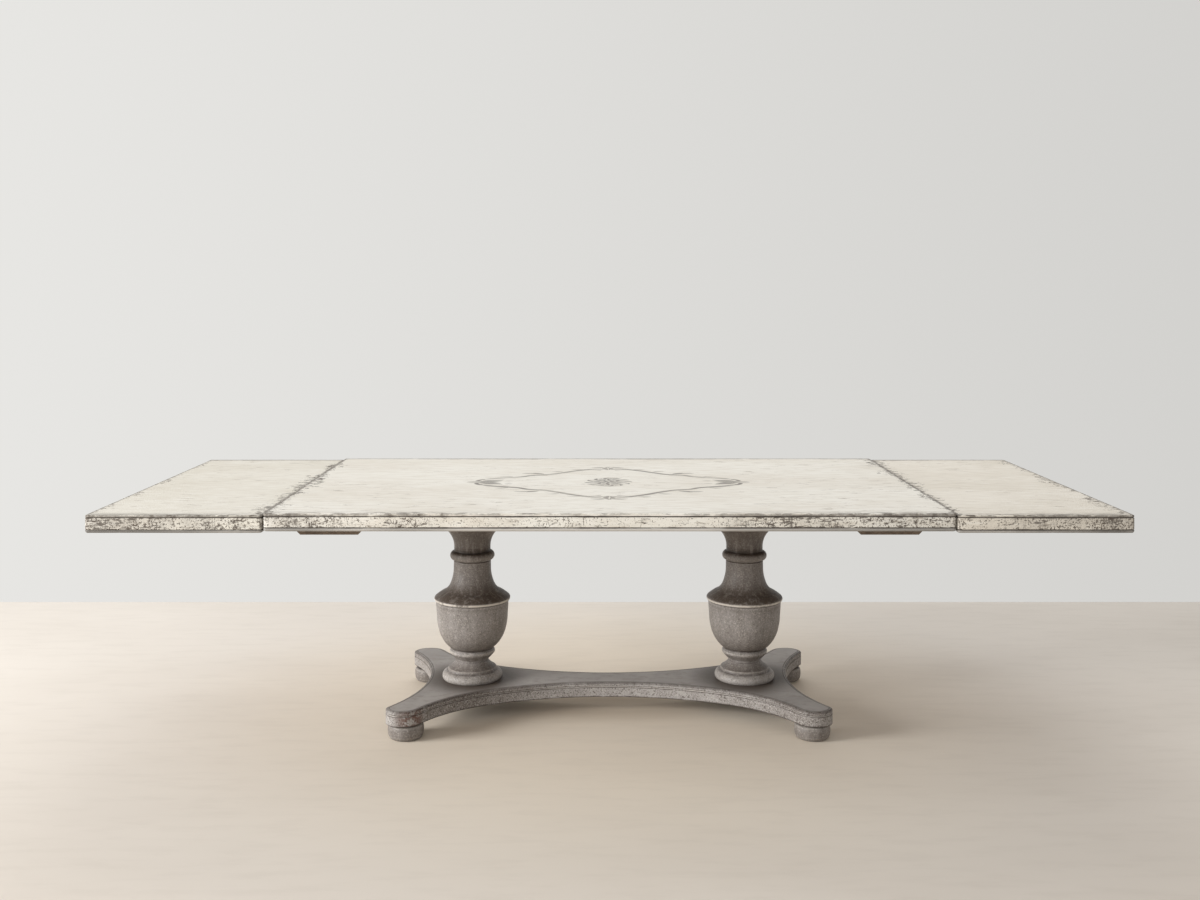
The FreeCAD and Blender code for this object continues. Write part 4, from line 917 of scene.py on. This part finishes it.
def plinth(material):
    """The plinth with its bead and quirk, and pockets below for the rods' nuts."""
    low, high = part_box("base_plinth")
    cut_height = low.z + (high.z - low.z) * SLICE_SHARE
    anchors, normals = even_loop(slice_outline("base_plinth", cut_height), PLINTH_STEP)
    top = high.z - SKIN
    bottom = low.z + SKIN
    line = PLINTH_TOP_ROUND + SKIN
    quirk = high.z - PLINTH_BEAD
    steps = [
        [(PLINTH_FACE_INSET, top)],
        [(line + 0.0012, top)],
        [(line + 0.0004, top - PLINTH_LINE_DEPTH)],
        [(line - 0.0006, top - 0.0003)],
        arris_round(SKIN, top, PLINTH_TOP_ROUND, -1),
        [(SKIN, quirk)],
        [(SKIN + PLINTH_QUIRK * 0.9, quirk - PLINTH_QUIRK * 0.3)],
        [(SKIN + PLINTH_QUIRK * 0.9, quirk - PLINTH_QUIRK * 0.7)],
        [(SKIN, quirk - PLINTH_QUIRK)],
        [(SKIN, bottom + PLINTH_BOTTOM_ROUND)],
        arris_round(SKIN, bottom, PLINTH_BOTTOM_ROUND, 1),
        [(PLINTH_FACE_INSET, bottom)],
    ]
    outline = traced(steps, PLINTH_PROFILE_STEP)
    turn = bends(outline, BEND_REACH["plinth"])
    quirk = np.clip(-turn * 1.1, 0, 1)
    inset, z = outline.T
    middle, half = PLINTH_SCRIBE
    near_line = np.clip(1.2 * (1 - abs(inset - middle) / half), 0, 1)
    scribed = np.where(z > high.z - PLINTH_TOP_ROUND, near_line, 0)
    dark = np.maximum(np.clip(turn * 1.6, 0, 1), scribed)
    vertices = swept(anchors, normals, 0.0, outline, quirk, np.zeros(len(anchors)), PLINTH_CHIPS)
    vertices[:, 0, 2] = top
    vertices[:, -1, 2] = bottom
    rows, columns = len(anchors), len(outline)
    levels = {"band": inset < PLINTH_TOP_ROUND * 0.75, "quirk": quirk, "dark": dark}
    attributes = {key: np.tile(values, rows) for key, values in levels.items()}
    faces = ring_faces(rows, columns)
    piece = add_mesh("base_plinth_aged", vertices, faces, material, BODY,
                     ["base_plinth"], attributes)
    work = bmesh.new()
    work.from_mesh(piece.data)
    work.verts.ensure_lookup_table()
    for column, height in ((0, 1), (columns - 1, -1)):
        ring = [work.verts[i * columns + column] for i in range(rows)]
        edges = [work.edges.get((a, b)) for a, b in zip(ring, ring[1:] + ring[:1])]
        if height < 0:
            edges += pocket_edges(work, bottom)
        filled = bmesh.ops.triangle_fill(work, edges=edges, use_beauty=True, normal=(0, 0, height))
        for face in filled["geom"]:
            if isinstance(face, bmesh.types.BMFace):
                face.smooth = False
    bmesh.ops.recalc_face_normals(work, faces=work.faces)
    work.to_mesh(piece.data)
    work.free()
    return piece


POCKET_RADIUS = 0.022
POCKET_DEPTH = 0.016
POCKET_STEPS = 40


def pocket_edges(work, bottom):
    """Adds the two pockets for the rods' nuts, and returns the edges of their mouths."""
    mouths = []
    for side in SIDES:
        x = middle_of(f"tie_rod_{side}").x
        rings = []
        for z in (bottom, bottom + POCKET_DEPTH):
            rings.append([work.verts.new((x + POCKET_RADIUS * math.cos(a), POCKET_RADIUS * math.sin(a), z))
                          for a in (2 * math.pi * k / POCKET_STEPS for k in range(POCKET_STEPS))])
        mouth, end = rings
        for k in range(-1, POCKET_STEPS - 1):
            work.faces.new((mouth[k], mouth[k + 1], end[k + 1], end[k]))
            mouths.append(work.edges.get((mouth[k], mouth[k + 1])))
        work.faces.new(end)
    return mouths


# The painted ornament on the main top: a scrolled lozenge of vines round a leafy medallion
ORNAMENT_LIFT = 0.00008
STROKE_LIFT = 0.0000008
# One quarter of it, mirrored to the others. A leaf is its stalk's X and Y, angle, length and strength.
VINE = [(0.424, 0.066), (0.385, 0.088), (0.34, 0.106), (0.297, 0.126), (0.266, 0.156), (0.212, 0.176),
        (0.158, 0.224), (0.122, 0.262), (0.075, 0.3), (0.03, 0.318), (0, 0.321)]
SCROLL = [(0.424, 0.066), (0.44, 0.048), (0.446, 0.024), (0.436, 0.006)]
VINE_WIDTH = 0.027
VINE_STRENGTH = 0.95
LEAVES = [(0.008, 0.298, 14, 0.068, 0.8), (0.004, 0.34, 8, 0.056, 1), (0.09, 0.3, -8, 0.045, 0.6),
          (0, 0.292, 90, 0.072, 0.9), (0.024, 0.276, 24, 0.044, 0.7),
          (0.226, 0.186, 12, 0.075, 1), (0.262, 0.2, 0, 0.045, 0.9), (0.16, 0.24, 14, 0.045, 0.7),
          (0.447, 0.018, 172, 0.085, 1), (0.432, 0.046, 176, 0.075, 1), (0.44, 0.006, 2, 0.042, 0.7),
          (0.352, 0.032, 175, 0.03, 0.6), (0.33, 0.118, 10, 0.05, 0.7)]
LEAF_WIDTH_SHARE = 0.36
LEAF_STEPS = 8
LEAF_CURL = 0.15
STROKE_STEP = 0.006
# Points across a stroke, from one soft edge to the other
STROKE_SHARES = (-1.0, -0.5, 0.0, 0.5, 1.0)
PATCH_ROWS = 25
PATCH_END_SHARE = 0.98
MEDALLION_LEAF_SHARE = 0.5


class Brush:
    """Collects painted strokes as flat quads with soft edges."""

    def __init__(self, height):
        self.height = height
        self.vertices, self.faces, self.across, self.strength = [], [], [], []

    def along(self, line, half_widths, strength):
        """Rows of points across a line, joined by faces. The next stroke lies just above it."""
        start, count, last = len(self.vertices), len(STROKE_SHARES), len(line) - 1
        for i, half_width in enumerate(half_widths):
            ahead = line[min(i + 1, last)] - line[max(i - 1, 0)]
            across = np.array((-ahead[1], ahead[0])) / np.linalg.norm(ahead)
            for share in STROKE_SHARES:
                self.vertices.append((*(line[i] + across * half_width * share), self.height))
                self.across.append(abs(share))
                self.strength.append(strength)
        for a in range(start, start + last * count, count):
            for k in range(a, a + count - 1):
                self.faces.append((k + 1, k, k + count, k + count + 1))
        self.height += STROKE_LIFT

    def patch(self, half_width, half_depth, strength):
        """An oval wash round the middle."""
        shares = np.linspace(-PATCH_END_SHARE, PATCH_END_SHARE, PATCH_ROWS)
        line = [np.array((0.0, half_depth * share)) for share in shares]
        self.along(line, half_width * np.sqrt(1 - shares ** 2), strength)

    def stroke(self, points, width, strength, taper=0.15):
        """A stroke along a smooth line through the points."""
        line = smooth_line(points, STROKE_STEP)
        shares = np.linspace(0, 1, len(line))
        swell = np.minimum(1, np.minimum(shares, 1 - shares) / taper + 0.25)
        self.along(line, width / 2 * swell, strength)

    def leaf(self, base, angle, length, strength, curl, width_share=LEAF_WIDTH_SHARE):
        """A pointed leaf from its stalk, slightly curled."""
        shares = np.linspace(0, 1, LEAF_STEPS + 1)
        ahead = length * np.array((math.cos(angle), math.sin(angle)))
        bulge = curl * np.array((-ahead[1], ahead[0]))
        line = [np.array(base) + ahead * share + bulge * math.sin(math.pi * share) for share in shares]
        half_widths = length * width_share / 2 * (0.12 + np.sin(math.pi * shares ** 0.8))
        self.along(line, half_widths, strength)


def smooth_line(points, step):
    """Evenly spaced points on a smooth curve through the given ones."""
    knots = [np.array(p, dtype=float) for p in points]
    padded = [2 * knots[0] - knots[1], *knots, 2 * knots[-1] - knots[-2]]
    dense = []
    for a, b, c, d in zip(padded, padded[1:], padded[2:], padded[3:]):
        for t in np.linspace(0, 1, 16, endpoint=False):
            dense.append(0.5 * (2 * b + (c - a) * t + (2 * a - 5 * b + 4 * c - d) * t ** 2
                                + (3 * b - a - 3 * c + d) * t ** 3))
    dense.append(knots[-1])
    dense = np.array(dense)
    length = lengths_of(dense)[-1]
    return at_lengths(dense, np.linspace(0, length, max(3, round(length / step))))


def ornament(material):
    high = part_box("main_top")[1]
    brush = Brush(high.z - SKIN + ORNAMENT_LIFT)
    for sy in ROWS.values():
        firm = 1.0 if sy < 0 else 0.95
        half = [(x, y * sy) for x, y in VINE]
        mirrored = [(-x, y) for x, y in reversed(half[:-1])]
        brush.stroke(half + mirrored, VINE_WIDTH, firm * VINE_STRENGTH, taper=0.03)
        for sx in SIDES.values():
            brush.stroke([(x * sx, y * sy) for x, y in SCROLL], VINE_WIDTH * 0.8, firm * VINE_STRENGTH)
            for x, y, angle, length, strength in LEAVES:
                turn = math.atan2(math.sin(math.radians(angle)) * sy, math.cos(math.radians(angle)) * sx)
                brush.leaf((x * sx, y * sy), turn, length, strength * firm, LEAF_CURL * sx * sy)
    medallion(brush)
    attributes = {"across": brush.across, "strength": brush.strength}
    return add_mesh("top_ornament", brush.vertices, brush.faces, material, BODY, None,
                    attributes)


MEDALLION_RINGS = (
    # count, radius share, leaf length share, tilt, strength
    (5, 0.06, 0.4, 0, 1),
    (8, 0.38, 0.4, 0.7, 1),
    (12, 0.68, 0.38, -0.8, 1),
)
MEDALLION_HALF = (0.08, 0.098)


def medallion(brush):
    """Rings of small leaves round a flower, inside a slightly oval outline."""
    width, depth = MEDALLION_HALF
    brush.patch(width, depth, 0.52)
    for count, radius, length, tilt, strength in MEDALLION_RINGS:
        for k in range(count):
            angle = 2 * math.pi * (k + 0.5) / count
            base = np.array((math.cos(angle) * radius * width, math.sin(angle) * radius * depth))
            leaf_length = length * (width + depth) / 2
            brush.leaf(base, angle + tilt, leaf_length, strength, LEAF_CURL, MEDALLION_LEAF_SHARE)


# Stage, lamps and camera
def floor_material():
    """Pale flooring with painted shade: deeper in tone to the front and by the key lamp, warm round the
    table, and a shadow under the plinth.
    """
    g = paint("floor_finish")
    depth = g.split(g.place)[1]
    to_lamp = g.distance(g.place, LAMPS["key_lamp"]["place"])
    from_table = g.distance(g.place)
    under = g.distance(g.scaled((1 / SHADOW_HALF[0], 1 / SHADOW_HALF[1], 1.0)))
    cloud = g.noise((0.9, 1.8, 1), 4, 0.55)
    trowel = g.noise((5, 22, 1), 5, 0.6, (3, 1, 0))
    colour = g.layers(
        "floor_front_shade",
        (depth.ramp(*FLOOR_FADE), "floor"),
        (to_lamp.ramp(*FLOOR_LAMP_REACH), "floor_shade_by_lamp"),
        (from_table.ramp(*FLOOR_WARM_SHADE_REACH) * 0.8, "floor_warm_shade"),
        (under.ramp(1.0, 0.3) * 0.5, "floor_shadow"),
        (cloud.ramp(0.35, 0.65) * 0.08, "floor_cloud"),
        (trowel.ramp(0.45, 0.7) * 0.06, "floor_trowel"),
    )
    return g.finish(colour, 0.85, trowel, bump=0.05, depth=0.001, specular=0.2)


def build_stage():
    mesh = bpy.data.meshes.new("floor")
    corners = [(-FLOOR_HALF_LENGTH, FLOOR_FRONT_Y, 0), (FLOOR_HALF_LENGTH, FLOOR_FRONT_Y, 0),
               (FLOOR_HALF_LENGTH, FLOOR_BACK_Y, 0), (-FLOOR_HALF_LENGTH, FLOOR_BACK_Y, 0)]
    mesh.from_pydata(corners, [], [(0, 1, 2, 3)])
    mesh.materials.append(floor_material())
    add_object("floor", mesh)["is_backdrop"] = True


def build_world():
    """Soft light, fullest across the table and from above, and a backdrop past the floor, painted in shade
    towards the right.
    """
    world = bpy.data.worlds.new("studio")
    bpy.context.scene.world = world
    g = Graph(world)
    x, y, z = g.split(g.out("ShaderNodeTexCoord", output="Generated"))
    level = y * y * WORLD_LIGHT["across"] + WORLD_LIGHT["level"]
    strength = g.math("MAXIMUM", z, 0.0) * WORLD_LIGHT["above"] + level
    light = g.out("ShaderNodeBackground", {"Color": WORLD_LIGHT_COLOUR, "Strength": strength})
    reach = {"Value": x, "From Min": -BACKDROP_REACH, "From Max": BACKDROP_REACH}
    to_right = g.out("ShaderNodeMapRange", reach)
    backdrop = g.out("ShaderNodeBackground", {"Color": g.mix(to_right, "backdrop_lit_side", "backdrop_shaded_side")})
    rays = (g.out("ShaderNodeLightPath", output=f"Is {kind} Ray") for kind in ("Camera", "Glossy"))
    shown = g.out("ShaderNodeMixShader", {0: g.math("MAXIMUM", *rays), 1: light, 2: backdrop})
    g.node("ShaderNodeOutputWorld", {0: shown})


def add_lamp(name, settings):
    data = bpy.data.lights.new(name, "AREA")
    data.shape = "RECTANGLE"
    data.size, data.size_y = settings["size"]
    data.energy = settings["power"]
    lamp = add_object(name, data)
    lamp.location = settings["place"]
    aim = Vector(AIM) - lamp.location
    lamp.rotation_euler = aim.to_track_quat("-Z", "Y").to_euler()


def build_camera():
    data = bpy.data.cameras.new("camera")
    data.sensor_width = SENSOR_MM
    data.lens = SENSOR_MM * FOCAL_PX / PHOTO_WIDTH_PX
    data.shift_y = (HORIZON_PX - PHOTO_HEIGHT_PX / 2) / PHOTO_WIDTH_PX
    camera = add_object("camera", data)
    camera.location = CAMERA_PLACE
    camera.rotation_euler = (math.pi / 2, 0, 0)
    bpy.context.scene.camera = camera


def paint_cad(materials):
    """Gives each CAD piece that stays in sight the material that its name calls for."""
    for word, key in CAD_PAINT.items():
        for piece in (piece for name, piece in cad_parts.items() if word in name):
            for slot in piece.material_slots:
                slot.material = materials[key]


build_camera()
build_world()
build_stage()
for lamp_name, lamp_settings in LAMPS.items():
    add_lamp(lamp_name, lamp_settings)
bpy.context.scene.view_settings.view_transform = "Standard"

for slab_name, slab_body in (("main_top", BODY), ("leaf_left", "left_leaf"), ("leaf_right", "right_leaf")):
    slab(slab_name, slab_body, slab_material(slab_name))
ornament(ornament_material())

taupe = taupe_material()
plinth(plinth_material())
for side_name in SIDES:
    axis = middle_of(f"tie_rod_{side_name}")
    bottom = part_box("base_plinth")[1].z
    for kind in ("base_turning", "urn_bowl", "urn_lid", "urn_neck", "capital"):
        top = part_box(f"{kind}_{side_name}")[1].z
        lathe(kind, f"{kind}_{side_name}", axis, bottom, top, taupe)
        bottom = top
    for row_name in ROWS:
        foot = f"foot_{side_name}_{row_name}"
        low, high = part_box(foot)
        lathe("foot", foot, middle_of(foot), low.z, high.z, taupe)

cad_materials = {key: wood_material(key, *WOODS[key]) for key in WOODS}
paint_cad({"zinc_steel": steel_material(), **cad_materials})

low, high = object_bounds()
